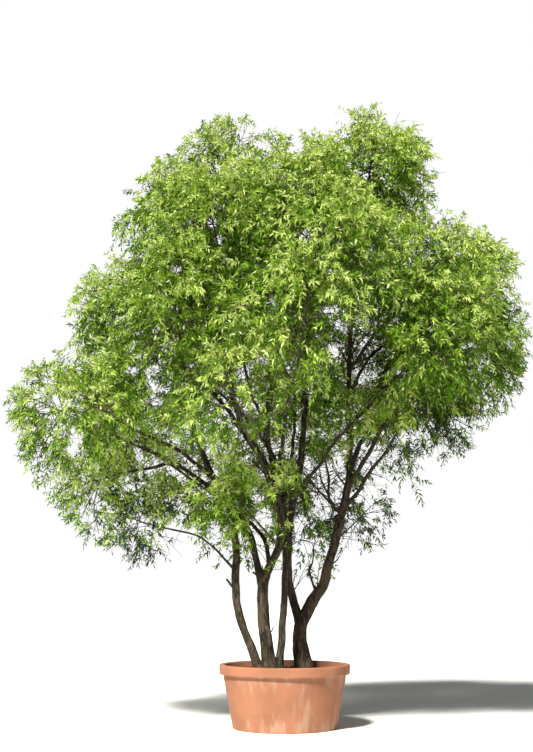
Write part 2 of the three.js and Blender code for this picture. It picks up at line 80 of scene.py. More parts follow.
# The pot, in metres. Its height and its rim are those of the solid.
POT_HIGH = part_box("pot")[1]
POT_HEIGHT = POT_HIGH.z
POT_RIM_RADIUS = POT_HIGH.x
POT_FOOT_RADIUS = 0.6
POT_WALL = 0.042
POT_FLOOR = 0.06
POT_BAND_HEIGHT = 0.115
POT_BAND_PROUD = 0.024
POT_BAND_DRAFT = 0.004
POT_BAND_STEP = 0.006
POT_ROUNDING = {"foot": 0.012, "neck": 0.006, "band": 0.012, "rim": 0.016, "lip": 0.014, "floor": 0.03}
POT_HUB = 0.001
POT_SIDES = 144
POT_CORNER_POINTS = 5
POT_PROFILE_STEP = 0.02

# How the pot's wall strays: in how many waves round it, over how many lanes of its
# profile, and how far from the axis in full. The throwing lines add a share.
WOBBLE_WAVES = 9
WOBBLE_LANES = 6.0
WOBBLE_CELLS = (WOBBLE_WAVES, 101)
WOBBLE_FREE = 0.3
LINE_LANES = 1.3
LINE_CELLS = (3, 211)
LINE_SHARE = 0.8
POT_SEEDS = {"wobble": 41, "lines": 43}

# The drain holes, and the rods that cut them
DRAIN_COUNT = 3
DRAIN_RADIUS = 0.024
DRAIN_RING = 0.33
DRAIN_SIDES = 24
CUTTER_LENGTH = 0.3
CUTTER_HEIGHT = 0.02

# The soil's surface, in metres: how far it keeps off the wall and lies below the solid's
# top, its rings, and the sizes of its bumps with their shares and seeds
SOIL_CLEARANCE = 0.003
SOIL_SHOULDER = 0.012
SOIL_SINK = 0.004
SOIL_LIFT = 0.001
SOIL_RINGS = (0.995, 0.002, 56)
SOIL_SIDES = 160
SOIL_BUMPS = ((4, 1.0, 51), (13, 0.8, 52), (38, 0.7, 53))
SOIL_LATTICE = (211, 223)
SOIL_LATTICE_START = 40

# The lumps on it: their sizes, how far out they lie, how proud, and how far from round
CLOD_SIZES = (0.004, 0.016)
CLOD_SHRINK = (0.5, 1)
CLOD_SPREAD = 0.96
CLOD_LIFT = 0.2
CLOD_KNOCKS = (0.75, 1.25)
CLOD_STRETCH = (0.7, 1.2)
CLOD_SEED = 61

# The layout from here to the masses is the source's own, in its millimetres
SOIL_TOP = 650

# Each stem: X, Y and height above the soil, then its width there
STEMS = {
    "stem_centre": {
        "path": [
            (-170, -150, 0, 158), (-220, -150, 370, 146), (-250, -150, 770, 134), (-240, -170, 1010, 122),
            (-150, -220, 1220, 100), (-62, -250, 1450, 96), (-48, -260, 1750, 92), (-200, -260, 2300, 84),
            (-480, -220, 2790, 76), (-650, -120, 3400, 66), (-700, -40, 4300, 50),
        ],
        "tip": 34, "feeds": "top_left",
    },
    "stem_left": {
        "path": [
            (-290, -200, 0, 108), (-350, -200, 180, 102), (-510, -200, 580, 94), (-568, -200, 1000, 88),
            (-562, -200, 1340, 84), (-600, -200, 1740, 80), (-700, -230, 2020, 76), (-890, -330, 2320, 70),
            (-1060, -600, 2800, 58),
        ],
        "tip": 36, "feeds": "middle_left_front",
    },
    "stem_slim": {
        "path": [
            (-68, -105, 0, 88), (-36, -100, 370, 80), (-8, -96, 770, 78), (6, -92, 1150, 76),
            (12, -92, 1720, 70), (-20, -100, 2010, 66), (-150, -120, 2440, 60), (-210, -180, 2850, 54),
            (-150, -380, 3500, 46), (20, -620, 4200, 38),
        ],
        "tip": 30, "feeds": "top_front",
    },
    "stem_right": {
        "path": [
            (240, 300, 0, 192), (205, 300, 190, 188), (190, 300, 370, 176), (225, 300, 560, 156),
            (335, 300, 770, 142), (460, 300, 970, 130), (525, 300, 1190, 118), (612, 300, 1500, 106),
            (752, 300, 2050, 90), (800, 290, 2450, 78), (785, 270, 3000, 66), (812, 190, 3770, 52),
            (850, 110, 4500, 42),
        ],
        "tip": 34, "feeds": "top_right",
    },
    "stem_back": {
        "from": "stem_right", "at": 480,
        "path": [
            (130, 300, 720, 100), (62, 302, 1000, 92), (50, 305, 1350, 86), (82, 310, 1740, 80),
            (165, 320, 2120, 78), (215, 350, 2550, 74), (260, 440, 3200, 60), (250, 580, 4100, 42),
        ],
        "tip": 30, "feeds": "top_back",
    },
}

# Each bough, named for the mass that it carries: the limb it leaves, how far up,
# its width there, and either how far its middle bows or the points it passes
BOUGH_TIP = 30
BOUGHS = {
    "lower_left": {
        "from": "stem_centre", "at": 960, "width": 92,
        "via": [
            (-335, -105, 1270), (-425, -62, 1600), (-680, -10, 1950), (-1130, 10, 2290),
            (-1510, 10, 2500),
        ],
    },
    "lower_left_back": {
        "from": "stem_centre", "at": 1190, "width": 48, "via": [(-310, 20, 1600), (-900, 520, 2080)],
    },
    "lower_left_front": {"from": "stem_left", "at": 2200, "width": 52, "bow": 60},
    "lower_front": {"from": "stem_centre", "at": 1640, "width": 50, "bow": 120},
    "lower_right": {
        "from": "stem_right", "at": 1860, "width": 48,
        "via": [(880, 280, 2060), (1000, 250, 2260), (1100, 220, 2400), (1215, 190, 2540)],
    },
    "skirt_outer": {"from": "bough_lower_left", "at": 2420, "width": 40, "bow": -20},
    "droop": {
        "from": "stem_left", "at": 1130, "width": 26, "tip": 20,
        "via": [(-780, -215, 1360), (-1000, -235, 1530)],
    },
    "middle_left": {"from": "stem_centre", "at": 2560, "width": 58, "bow": 150},
    "middle_left_back": {"from": "stem_back", "at": 2050, "width": 56, "bow": 140},
    "middle_back": {"from": "stem_back", "at": 1620, "width": 58, "bow": 180},
    "middle_right_back": {
        "from": "stem_right", "at": 2360, "width": 68,
        "via": [(903, 390, 2590), (980, 430, 2750), (1075, 490, 2895), (1180, 620, 3120)],
    },
    "middle_right": {
        "from": "stem_right", "at": 2090, "width": 60,
        "via": [(935, 205, 2410), (1034, 170, 2567), (1174, 140, 2843), (1400, 120, 3080)],
    },
    "middle_right_front": {
        "from": "stem_slim", "at": 1980, "width": 54,
        "via": [(195, -140, 2130), (310, -200, 2235), (425, -280, 2365), (578, -500, 2600)],
    },
    "middle_front": {"from": "stem_slim", "at": 2200, "width": 48, "bow": 160},
    "upper_left": {"from": "stem_centre", "at": 3300, "width": 50, "bow": 120},
    "upper_left_front": {
        "from": "stem_slim", "at": 2520, "width": 44,
        "via": [(-245, -200, 2853), (-316, -280, 3033), (-408, -400, 3264)],
    },
    "upper_left_back": {"from": "stem_back", "at": 3100, "width": 44, "bow": 120},
    "upper_back": {"from": "stem_back", "at": 2700, "width": 46, "bow": 140},
    "upper_right_back": {"from": "stem_right", "at": 3250, "width": 46, "bow": 110},
    "upper_right": {"from": "stem_right", "at": 2820, "width": 52, "bow": 120},
    "upper_right_front": {"from": "stem_right", "at": 3550, "width": 44, "bow": 60},
    "upper_front": {"from": "stem_slim", "at": 2950, "width": 44, "bow": 120},
}

# Small masses that grow straight out of a stem's side
SIDE_MASSES = {
    "skirt_inner": {"from": "stem_left", "at": 1640, "width": 30},
    "low_right": {"from": "stem_right", "at": 1480, "width": 22},
    "spray_front": {"from": "stem_centre", "at": 1420, "width": 24},
    "spray_back": {"from": "stem_right", "at": 1800, "width": 34},
}

# The crown: rings of masses on ellipses, tilted by rise and bent down by drop
BEARINGS = {
    "right": 0, "right_back": 45, "back": 90, "left_back": 135,
    "left": 180, "left_front": 225, "front": 270, "right_front": 315,
}
ALL_ROUND = tuple(BEARINGS)
RINGS = (
    {
        "name": "top", "height": 5925, "rise": 60, "drop": 550, "middle": 200,
        "half_width": 860, "half_depth": 850, "radius": 800, "at": ("right", "back", "left", "front"),
    },
    {
        "name": "upper", "height": 4870, "rise": -360, "drop": 280, "middle": 400,
        "half_width": 1690, "half_depth": 1550, "radius": 850, "at": ALL_ROUND,
    },
    {
        "name": "middle", "height": 3850, "rise": -210, "drop": 100, "middle": 200,
        "half_width": 1995, "half_depth": 1800, "radius": 830, "at": ALL_ROUND,
    },
    {
        "name": "lower", "height": 3080, "rise": 80, "drop": 180, "middle": -530,
        "half_width": 2110, "half_depth": 1550, "radius": 720,
        "at": ("right", "left_back", "left", "left_front", "front"),
    },
)
LOW_MASSES = {
    "skirt_outer": (-2180, 0, 2200, 590),
    "skirt_inner": (-1000, -380, 2060, 600),
    "droop": (-1680, -250, 1700, 520),
    "low_right": (950, 660, 1790, 380),
    "spray_front": (-560, -640, 1950, 500),
    "spray_back": (400, 700, 2160, 770),
}

# The source's rule for limbs: the share of a mass's radius at which its carrier enters
# it, lowered in steps until the tip is a margin inside the mass's own space, and the gap
# under a stem. Margin and gap are in millimetres.
SEED = 1207
ENTRY = 0.74
ENTRY_STEP = 0.02
ENTRY_LEAST = 0.05
CELL_MARGIN = 4
GAP = 0.3
RINGS_PER_SPAN = 2

# The source's rule for a mass: where its leader sets out, bends and ends, its laterals
# at the full radius, in millimetres, and how far they droop
LEADER_START = 0.4
LEADER_BEND = 0.2
LEADER_END = 0.3
LATERALS = 6
FEWEST_LATERALS = 4
FULL_RADIUS = 700
DROOP = 0.35

# The same rule carried on, with more laterals between the source's own. Shares run
# along the parent twig; swings are the angles off it at its foot and at its tip;
# lengths are shares of the mass's radius for branches, and metres for shoots.
EXTRA_LATERALS = 7
AXIS_SHARE = 0.92
AXIS_RISE = (0.05, 0.2)
AXIS_SAG = (0, 0.12)
REACH_STEP = 0.02
BRANCH = {
    "each": 8, "shares": (0.14, 1.0), "swings": (70, 28), "lengths": (0.56, 0.36), "vary": 0.25,
    "rise": (0.05, 0.3), "sag": (0.05, 0.35),
}
SHOOT = {
    "each": 7, "shares": (0.16, 1.0), "swings": (68, 20), "lengths": (0.34, 0.22), "vary": 0.3,
    "rise": (0.0, 0.25), "sag": (0.1, 0.6),
}
STEP_JITTER = 0.3
SWING_VARY = (0.8, 1.2)
MASS_SEEDS = SEED + 100

# A twig that ends outside the crown is shortened by a share, some times over, and left
# out where it still ends outside or comes out shorter than the least
TWIG_LEAST = 0.1
SHORTENINGS = 6
SHORTENING = 0.82

# The crown's outline: how softly its balls melt together, and between which depths
# inside it a twig ends, for most masses and for those with an outline of their own. A
# depth below zero is outside.
MELT = 0.2
EDGE = (0.0, 0.17)
OUTER_EDGES = {
    "top_right": (-0.12, 0.05), "top_left": (-0.03, 0.1), "upper_right": (-0.02, 0.13),
    "middle_left": (-0.05, 0.12), "middle_front": (0.04, 0.18), "lower_left": (-0.02, 0.12),
    "lower_right": (-0.18, 0.0), "low_right": (-0.04, 0.06), "droop": (-0.03, 0.07),
    "skirt_outer": (-0.04, 0.08),
}

# How far a twig may pass its own mass's ball, and the borders with its neighbours
BALL_SLACK = 0.2
BORDER_SLACK = 0.22

# The crown's skin: its points to a ball, how deep in the crown they may lie, how far
# under it the thinning of the shoots starts and ends, and what share grows below that
SKIN_POINTS = 500
SKIN_OPEN = 0.15
THINNING = (0.3, 0.8)
INSIDE_SHARE = 0.27

# How near the skin a leaf has its full outline, how much longer and wider the simpler
# ones below are, and how much smaller leaves are in full shade
FULL_OUTLINE = 0.2
INNER_LEAF = (1.15, 1.6)
SHADE_SHRINK = 0.45

# Sprigs, the leafy twigs on the limbs inside the crown and on the leafy side twigs: how
# high above the soil they start and how far apart they stand, by limb or by kind of
# limb, how they grow, and between which depths inside the crown's outline they end
SPRIG_FOOT = {
    "stem": 1.45, "stem_slim": 1.05, "stem_centre": 1.05, "stem_left": 1.3,
    "bough": 1.65, "bough_lower_left": 1.1, "twig": 0.0, "outline": 0.0,
}
SPRIG_PITCH = {
    "stem": 0.1, "stem_slim": 0.07, "stem_centre": 0.06, "stem_left": 0.06, "stem_right": 0.07,
    "bough": 0.1, "bough_middle_right_front": 0.022, "twig": 0.1, "outline": 0.1,
}
SPRIG_RIPPLE = 0.3
SPRIG = {"swings": (50, 80), "length": (0.25, 0.6), "rise": (0.0, 0.3), "sag": (0.2, 0.5)}
SPRIG_EDGE = (-0.5, -0.1)
OUTLINE_EDGE = (-0.14, 0.02)
SPRIG_LEAFINESS = 0.7
SPRIG_AHEAD = 0.05
SPRIG_SEEDS = SEED + 300

# Where the camera stands, what it aims at, and its lens in millimetres
CAMERA_PLACE = (-0.21, -15.0, 1.7)
CAMERA_AIM = (-0.21, 0.0, 4.0956)
CAMERA_LENS = 60.6
CAMERA_FAR = 500

# The main light, and the floor's rings and sides
KEY_DIRECTION = (0.33, 0.63, -0.7)
KEY_COLOUR = (1.0, 0.97, 0.9)
FLOOR_RINGS = 12
FLOOR_SIDES = 96
FLOOR_HUB = 0.001

# Gaps in the crown through which the sky shows, as they are seen from the front: X and
# height above the soil of each one's middle, and its half width and half height
GAPS = (
    (-2490, 2620, 100, 180), (420, 2010, 120, 280), (-1700, 1700, 110, 100), (-790, 1640, 70, 90),
    (-290, 1280, 80, 180), (650, 2390, 100, 130), (210, 1690, 90, 90), (1010, 1680, 90, 35),
    (-1490, 3300, 110, 60), (-1570, 3160, 60, 40), (-210, 1750, 80, 120), (640, 2100, 90, 100),
    (2130, 2890, 90, 90), (1570, 2760, 60, 100), (930, 2310, 70, 90), (290, 2340, 110, 120),
    (1060, 1860, 80, 80), (1070, 2510, 80, 80), (1870, 2560, 90, 60), (-330, 2000, 60, 120),
    (800, 1790, 60, 100), (-670, 1320, 80, 110), (1280, 2480, 50, 80), (-2170, 1610, 70, 80),
    (-1740, 2490, 50, 100), (-2740, 3180, 90, 60), (1420, 2730, 70, 70), (-90, 2610, 60, 50),
    (1080, 3480, 70, 50), (-2800, 3370, 60, 60), (650, 4090, 60, 60), (-1080, 2440, 80, 60),
    (-1930, 1370, 60, 50), (-1240, 1870, 60, 50), (-2330, 1750, 80, 40), (-520, 3460, 50, 50),
    (-820, 6050, 50, 50), (-460, 6440, 60, 60), (-850, 5340, 60, 80), (-780, 5150, 50, 70),
    (-730, 4890, 50, 70), (-1310, 4780, 80, 60), (-1310, 4280, 60, 50), (270, 5200, 100, 60),
    (-140, 4370, 60, 50), (550, 4270, 100, 80), (580, 3760, 70, 100), (-1720, 3980, 60, 50),
    (-1520, 4010, 60, 50), (-1090, 3590, 70, 50), (-460, 3560, 60, 40), (-260, 3640, 60, 60),
    (20, 3580, 60, 50), (-1590, 3540, 100, 50), (-1830, 3530, 70, 50), (1290, 2130, 70, 70),
    (1400, 2060, 120, 80), (1370, 4130, 60, 60), (1020, 3910, 60, 60), (940, 3400, 70, 60),
    (1400, 3480, 60, 60), (1780, 4060, 60, 60), (2200, 3840, 60, 60), (2380, 3640, 70, 60),
    (-1230, 1400, 170, 140), (1950, 2280, 160, 90), (1240, 1240, 200, 110), (170, 6300, 110, 90),
    (-260, 6350, 120, 60), (-1450, 1270, 90, 80), (-3250, 2560, 90, 200), (-3150, 3540, 80, 80),
    (-2650, 1640, 90, 80), (-440, 6540, 130, 70), (1030, 2130, 110, 110), (800, 1500, 110, 120),
    (-1300, 1560, 160, 90), (690, 6660, 170, 110), (980, 6910, 300, 130), (1430, 6740, 230, 150),
    (1770, 6070, 70, 60), (3010, 3500, 110, 420), (2900, 3200, 120, 120), (-3160, 3450, 80, 130),
    (1000, 1970, 80, 90), (1110, 2240, 90, 80), (1650, 2410, 80, 60), (1150, 1410, 100, 60),
    (-1120, 1600, 90, 60), (-2160, 4842, 60, 90), (-2010, 5577, 60, 90), (-1730, 5800, 80, 80),
    (-2600, 4470, 50, 50), (-420, 6560, 90, 60), (-470, 6200, 40, 40), (-690, 3750, 50, 40),
    (560, 4760, 50, 40), (60, 3500, 60, 50), (-1530, 3140, 120, 50), (990, 3470, 60, 50),
)

# The share of the growth that is missing in a gap, between which distances it thins out,
# as shares of the gap's radius, and how far and how finely that rim frays
GAP_LOSS = 0.88
GAP_RIM = (1.5, 0.6)
GAP_FRAY = 1.1
GAP_FRAY_SIZE = 0.07
GAP_FRAY_CELLS = (97, 89)

# How far out a spot's own effect ends, as a share of its radius
SPOT_REACH = 1.5

# Where a twig is tested, as shares of its length
LOSS_TESTS = (0.4, 0.85)

# Leaves that hang in front of the limbs are few up to the first height and as many as
# elsewhere from the second, in metres above the soil. They count as in front of a limb
# within the reach beside it.
BARE_HEIGHTS = (2.5, 4.0)
BARE_LOSS = 0.88
BARE_REACH = 0.055
SCREEN_PITCH = 0.04

# The patch higher up in which a fan of thin limbs shows all the same
FAN = (960, 3650, 380, 420)

# Places where leaves hang in front of the limbs all the same, laid out like the gaps,
# and how much painted light brightens these leaves
CLUSTERS = (
    (-10, 2200, 210, 250, 0.2), (-60, 1500, 150, 340, 0.06), (-560, 1560, 170, 320, 0.06),
    (630, 2610, 170, 220, 0.15), (-700, 2080, 150, 220, 0.2), (-1090, 2010, 150, 200, 0),
    (20, 1560, 80, 160, 0), (-1250, 2880, 400, 400, 0.05), (-2000, 2230, 480, 220, 0),
    (-2060, 2780, 260, 170, 0), (970, 3100, 430, 200, 0.08), (690, 2780, 140, 250, 0.1),
    (-400, 1330, 120, 150, 0.1), (-1330, 2500, 120, 120, 0), (900, 2900, 220, 260, 0.08),
    (-770, 2950, 100, 130, 0), (-350, 2850, 110, 170, 0),
)

# Patches of the crown, laid out like the gaps: what share of the growth is missing
# there, and how much painted light (above 0) or painted shade (below 0) the leaves get
PATCHES = (
    (900, 3850, 420, 500, 0.42, -0.08), (-1530, 3650, 300, 320, 0.35, 0),
    (-1880, 2200, 850, 700, 0.22, 0.17), (-170, 3640, 840, 720, 0.08, 0.12),
    (-400, 2080, 600, 600, 0.1, 0.12), (-1800, 1330, 400, 200, 0.2, -0.2),
    (-2700, 3050, 380, 380, 0.22, 0.05), (1100, 1700, 450, 450, 0, -0.42),
    (1800, 2500, 700, 330, 0.14, -0.14), (440, 1800, 300, 400, 0, -0.12),
)

# How leafy a mass is beside the others: the crown's underside is thin, and its top is full
LEAFINESS = {
    "low_right": 0.36, "spray_back": 0.95, "spray_front": 0.8, "droop": 0.72, "skirt_outer": 0.63,
    "skirt_inner": 0.68, "lower_left": 0.85, "lower_right": 0.8, "lower_front": 0.7, "top_right": 1.5,
}

# Masses less leafy than this have whole branches missing, the others single shoots
CLUMPED = 0.6

# Masses in the crown's own shade, whose leaves get painted shade, bluer and darker, and by how much
SHADED = {
    "low_right": 0.5, "spray_back": 0.45, "lower_right": 0.26, "droop": 0.2, "middle_right": 0.08,
    "skirt_outer": 0.04,
}

# The same painted shade for shoots far under the skin and for sprigs, and the painted
# shade at which leaves are painted blue-green
INSIDE_SHADE = 0.3
SPRIG_SHADE = 0.06
BLUE_SHADE = 0.15

# The leaves' tones, from dark to light: the first five are one green under painted
# shade and painted light. Then the painted light at which each of the first ones ends,
# and how many leaves have turned or show their underside
TONES = ("shade", "deep", "mid", "fresh", "lit", "silver", "gold")
TONE_STEPS = (0.17, 0.3, 0.46, 0.62)
GOLD_SHARE = 0.0006
SILVER_SHARE = 0.07
STRAY_SHARE = 0.14

# The painted light on a shoot, which picks its leaves' tone: on a plain one, what its
# height in the crown and in its own mass adds, and its random spread. The span is the
# crown's foot and top, in metres.
PLAIN_LIGHT = 0.46
CROWN_LIGHT = 0.15
MASS_LIGHT = 0.22
LIGHT_SPREAD = 0.2
CROWN_SPAN = (2.05, 7.4)
SHOOT_MIDDLE = 0.6

# How leaves stand on a shoot: the part of it that bears them, how far they turn from the
# even spiral, how they swing off it at its foot and its tip, in degrees, and lift, and
# how they face and hang
LEAF_PLACE = 0.6
LEAF_FOOT = 0.08
LEAF_RUN = 0.92
LEAF_TURN = 0.8
LEAF_SWINGS = (74, 34)
LEAF_SWING_VARY = 24
LEAF_LIFT = (-0.4, 0.3)
LEAF_FACE_UP = 0.5
LEAF_FACE_VARY = 0.6
LEAF_HANG = (0.05, 0.3)

# Leaves as shares of the full size: at the ends of the shoot, what the middle adds, and
# the spread, with a power that moves the longest ones towards the foot, and then a
# leaf's half width at two places along it
LEAF_LENGTHS = (0.72, 0.36)
LEAF_LENGTH_VARY = (0.8, 1.16)
LEAF_LONGEST_POWER = 0.8
LEAF_WIDTHS = (0.8, 0.25)
LEAF_WIDTH_VARY = (0.85, 1.15)
LEAF_OUTLINE = ((0.3, 0.5), (0.64, 0.42))

# The bark's ridges: how wide and long they are, in metres, and their share of the
# relief, the fewest round a limb, and between which heights the relief is cut off
FURROWS = ((0.042, 0.2, 0.5), (0.026, 0.1, 0.32), (0.014, 0.04, 0.18))
FURROW_CELLS = 509
FEWEST_RIDGES = 5
RIDGE_FOOT = 0.3
RIDGE_RISE = 0.4

# How the ridges sway: in how many waves round a limb, over what length, and how far, as
# a share of the way round
SWAY_WAVES = 4
SWAY_LENGTH = 0.2
SWAY_CELLS = 257
SWAY = 0.1

# The width at which wood starts to age and how much wider old wood is, the share of the
# furrows' depth on young wood, and the height of relief on the limb's own surface
YOUNG_WIDTH = 0.03
AGEING_WIDTH = 0.07
YOUNG_RELIEF = 0.25
RELIEF_LEVEL = 0.6

# How a limb swells: in how many waves round it, over what length, and how far
SWELL_WAVES = 3
SWELL_LENGTH = 0.31
SWELL_CELLS = 97
SWELL = 0.13

# How far limbs wander from their paths, as a share of their width on young and on old
# wood, over what length, and how far from their ends this fades
WANDER = (0.5, 0.1)
WANDER_LENGTH = 0.17
WANDER_FADE = 0.25
WANDER_CELLS = 61

# The flare at a stem's foot: how much wider it is, over what height, and its lobes
FLARE_GAIN = 0.35
FLARE_HEIGHT = 0.11
FLARE_LOBES = 4
LOBE_DEPTH = 0.35
LOBE_SWAY = 0.4

# Over what length the collar round a limb's foot fades
COLLAR_LENGTH = 0.07

# How limbs are meshed: how far apart their rings stand below a height and above it, and
# that height, in metres, the points to a ring, their shares of the bark's depth and of
# the collar, and the seed of the first one's bark
LIMB_MESHES = {
    "stem": {"rings": (0.016, 0.04, 3.6), "sides": 48, "depth": 1, "collar": 1, "seed": 200},
    "bough": {"rings": (0.022, 0.035, 3.4), "sides": 20, "depth": 1, "collar": 1, "seed": 400},
    "side_twig": {"rings": (0.02, 0.03, 3.4), "sides": 9, "depth": 0.3, "collar": 0, "seed": 600},
}
SEEDS_APART = 10

# How far the seeds of a limb's furrows, swell and wander lie above its own
FURROW_SEED = 1
SWELL_SEED = 3
WANDER_SEED = 5

# The mark in the middle of a limb's flat ends
END_MARK = 0.5

# Twigs as tubes: their rings and the points to a ring. A leader tapers to a share of its
# foot, an axis starts as a share of the leader's foot and tapers to a share of its own,
# and branches and shoots have their radii in metres.
LEADER_TUBE = {"rings": 13, "sides": 8, "taper": 0.68}
AXIS_TUBE = {"rings": 9, "sides": 5, "foot": 0.42, "taper": 0.25}
BRANCH_TUBE = {"rings": 5, "sides": 3, "radii": (0.0045, 0.0017)}
SHOOT_TUBE = {"rings": 3, "sides": 3, "radii": (0.0019, 0.0006)}

# Groups of masses whose leaves are joined
LEAF_GROUPS = {
    "leaves_top": ("top_",),
    "leaves_upper_left": ("upper_left", "upper_front"),
    "leaves_upper_right": ("upper_right", "upper_back"),
    "leaves_middle_left": ("middle_left", "middle_front"),
    "leaves_middle_right": ("middle_right", "middle_back"),
    "leaves_lower": ("lower_",),
    "leaves_low": tuple(LOW_MASSES),
}

# Stubs and dead twigs, which show below the crown and are bare, in the stems' terms: the
# points that each passes, and its width at the foot and at the tip
DEAD_TWIGS = (
    (((-568, -200, 915), (-620, -200, 975), (-674, -200, 1041)), 34, 24),
    (((-240, -160, 1030), (-320, -155, 1086), (-372, -150, 1121)), 30, 20),
    (((-232, -160, 1095), (-255, -155, 1150), (-258, -150, 1195)), 20, 12),
    (((-200, -160, 410), (-150, -165, 450), (-132, -165, 505)), 20, 12),
    (
        (
            (385, 300, 850), (345, 300, 985), (315, 300, 1090), (303, 300, 1140), (332, 300, 1215),
            (346, 300, 1265), (352, 300, 1360), (356, 300, 1431), (380, 300, 1500),
        ), 30, 11,
    ),
    (((303, 300, 1140), (300, 290, 1190), (292, 285, 1225)), 9, 5),
    (((390, 290, 900), (406, 280, 1080), (420, 275, 1194), (454, 270, 1348)), 13, 5),
    (((95, 300, 870), (150, 290, 960), (198, 290, 1064), (245, 285, 1160), (298, 290, 1264)), 11, 4),
    (((105, 300, 900), (175, 280, 990), (225, 275, 1060), (273, 280, 1105), (310, 275, 1215)), 9, 4),
    (((585, 300, 1225), (640, 295, 1270), (664, 290, 1324)), 20, 10),
)

# Leafy twigs in the crown's gaps, in the same terms
LEAFY_TWIGS = (
    (
        (
            (680, 300, 1824), (586, 330, 1916), (539, 380, 2033), (549, 420, 2242), (523, 450, 2404),
            (484, 500, 2560),
        ), 48, 20,
    ),
    (((535, 390, 2060), (461, 450, 2220), (439, 500, 2380)), 26, 14),
    (((740, 300, 2160), (657, 350, 2273), (590, 400, 2400)), 24, 12),
    (((796, 265, 3551), (926, 300, 3611), (1130, 350, 3677), (1330, 390, 3740)), 20, 11),
    (((799, 260, 3600), (917, 200, 3655), (1038, 100, 3690), (1180, 20, 3740)), 18, 9),
    (((796, 250, 3700), (865, 200, 3794), (971, 100, 3932), (1080, 0, 4060)), 20, 10),
    (((792, 250, 3671), (847, 350, 3851), (932, 500, 4141), (1013, 600, 4293)), 22, 11),
    (((790, 250, 3634), (696, 200, 3774), (606, 100, 3870)), 20, 10),
    (((786, 280, 3219), (913, 200, 3293), (1103, 100, 3300), (1250, 40, 3340)), 22, 10),
    (((785, 275, 3050), (700, 220, 3150), (600, 130, 3260)), 20, 10),
    (((-148, -240, 2150), (-300, -330, 2330), (-420, -470, 2420)), 26, 12),
    (((660, -560, 2680), (740, -720, 2800), (880, -850, 2960), (1060, -1000, 3130)), 18, 9),
    (((900, -745, 2925), (1000, -900, 2960), (1110, -1020, 3040)), 16, 8),
    (((560, -480, 2585), (600, -600, 2660), (690, -700, 2740)), 16, 8),
    (((60, 305, 1420), (200, 420, 1500), (330, 480, 1480), (450, 500, 1430)), 14, 7),
)

# Leafy twigs that fill out the crown's outline, in the same terms
OUTLINE_TWIGS = (
    (((1060, 0, 5985), (1290, -150, 5920), (1640, -170, 5700)), 18, 9),
    (((1000, -60, 5700), (1250, -200, 5600), (1540, -200, 5470)), 18, 9),
    (((1060, 0, 5985), (820, -100, 6080), (590, -130, 6120)), 18, 9),
    (((1580, 0, 3160), (1800, -80, 2840), (2010, -120, 2580)), 16, 8),
    (((-2640, 0, 3000), (-2700, -60, 3320), (-2640, -100, 3640)), 14, 7),
    (((-2640, 0, 3000), (-2800, -60, 2700), (-2920, -100, 2420)), 14, 7),
    (((-660, 0, 5865), (-900, -80, 6000), (-1180, -120, 6110)), 14, 7),
    (((2090, 0, 4510), (2350, -60, 4560), (2640, -80, 4540)), 14, 7),
    (((-1795, 0, 4060), (-2100, -60, 4150), (-2350, -80, 4220)), 14, 7),
    (((1060, 0, 5985), (1400, -40, 5900), (1740, -60, 5790)), 16, 8),
    (((1580, 0, 3160), (1950, -60, 2960), (2230, -80, 2800)), 16, 8),
    (((-2180, 0, 2200), (-2240, -60, 1880), (-2170, -80, 1560)), 14, 7),
)


# Shapes

def unit(vectors):
    """The same vectors at length one."""
    vectors = np.asarray(vectors, dtype=float)
    return vectors / np.linalg.norm(vectors, axis=-1, keepdims=True)


def blend(first, last, share):
    """The value at a share of the way from the first to the last."""
    return first + (last - first) * share


def soft_step(share):
    """A share from 0 to 1, eased at both ends."""
    share = np.clip(share, 0, 1)
    return share * share * (3 - 2 * share)


def turns_round(sides):
    """The angles of the points of a ring."""
    return np.arange(sides) * 2 * math.pi / sides


def square_to(tangents, upright):
    """Two directions square to each tangent, measured off X where it is upright."""
    side = unit(np.cross(tangents, np.where(upright, [1.0, 0, 0], UP)))
    return side, np.cross(tangents, side)


def point_tree(points):
    """A tree for looking up the nearest of some points."""
    tree = KDTree(len(points))
    for index, point in enumerate(points):
        tree.insert(point, index)
    tree.balance()
    return tree


def lattice_noise(u, v, cells, seed):
    """Smooth noise from 0 to 1, one cell to a unit, that repeats after some cells each way."""
    lattice = np.random.default_rng(seed).random(cells)
    i = np.floor(u).astype(int)
    j = np.floor(v).astype(int)
    du, dv = soft_step(u - i), soft_step(v - j)
    here, beside = i % cells[0], (i + 1) % cells[0]
    row, next_row = j % cells[1], (j + 1) % cells[1]
    near = blend(lattice[here, row], lattice[beside, row], du)
    far = blend(lattice[here, next_row], lattice[beside, next_row], du)
    return blend(near, far, dv)


def curve_point(path, place):
    """A point of the smooth curve through a path's points. The place counts spans."""
    last = len(path) - 1
    span = min(int(place), last - 1)
    share = place - span
    before = path[span - 1] if span > 0 else 2 * path[0] - path[1]
    start, end = path[span], path[span + 1]
    after = path[span + 2] if span + 2 <= last else 2 * path[last] - path[last - 1]
    leave, arrive = (end - before) / 2, (after - start) / 2
    return (
        start + leave * share
        + (-3 * start + 3 * end - 2 * leave - arrive) * share ** 2
        + (2 * start - 2 * end + leave + arrive) * share ** 3
    )


def grid_quads(rows, columns):
    """The four-sided faces of a grid of points that joins up across its columns."""
    row, column = np.meshgrid(np.arange(rows - 1), np.arange(columns), indexing="ij")
    beside = (column + 1) % columns
    return np.stack([
        row * columns + column, row * columns + beside,
        (row + 1) * columns + beside, (row + 1) * columns + column,
    ], axis=-1).reshape(-1, 4)


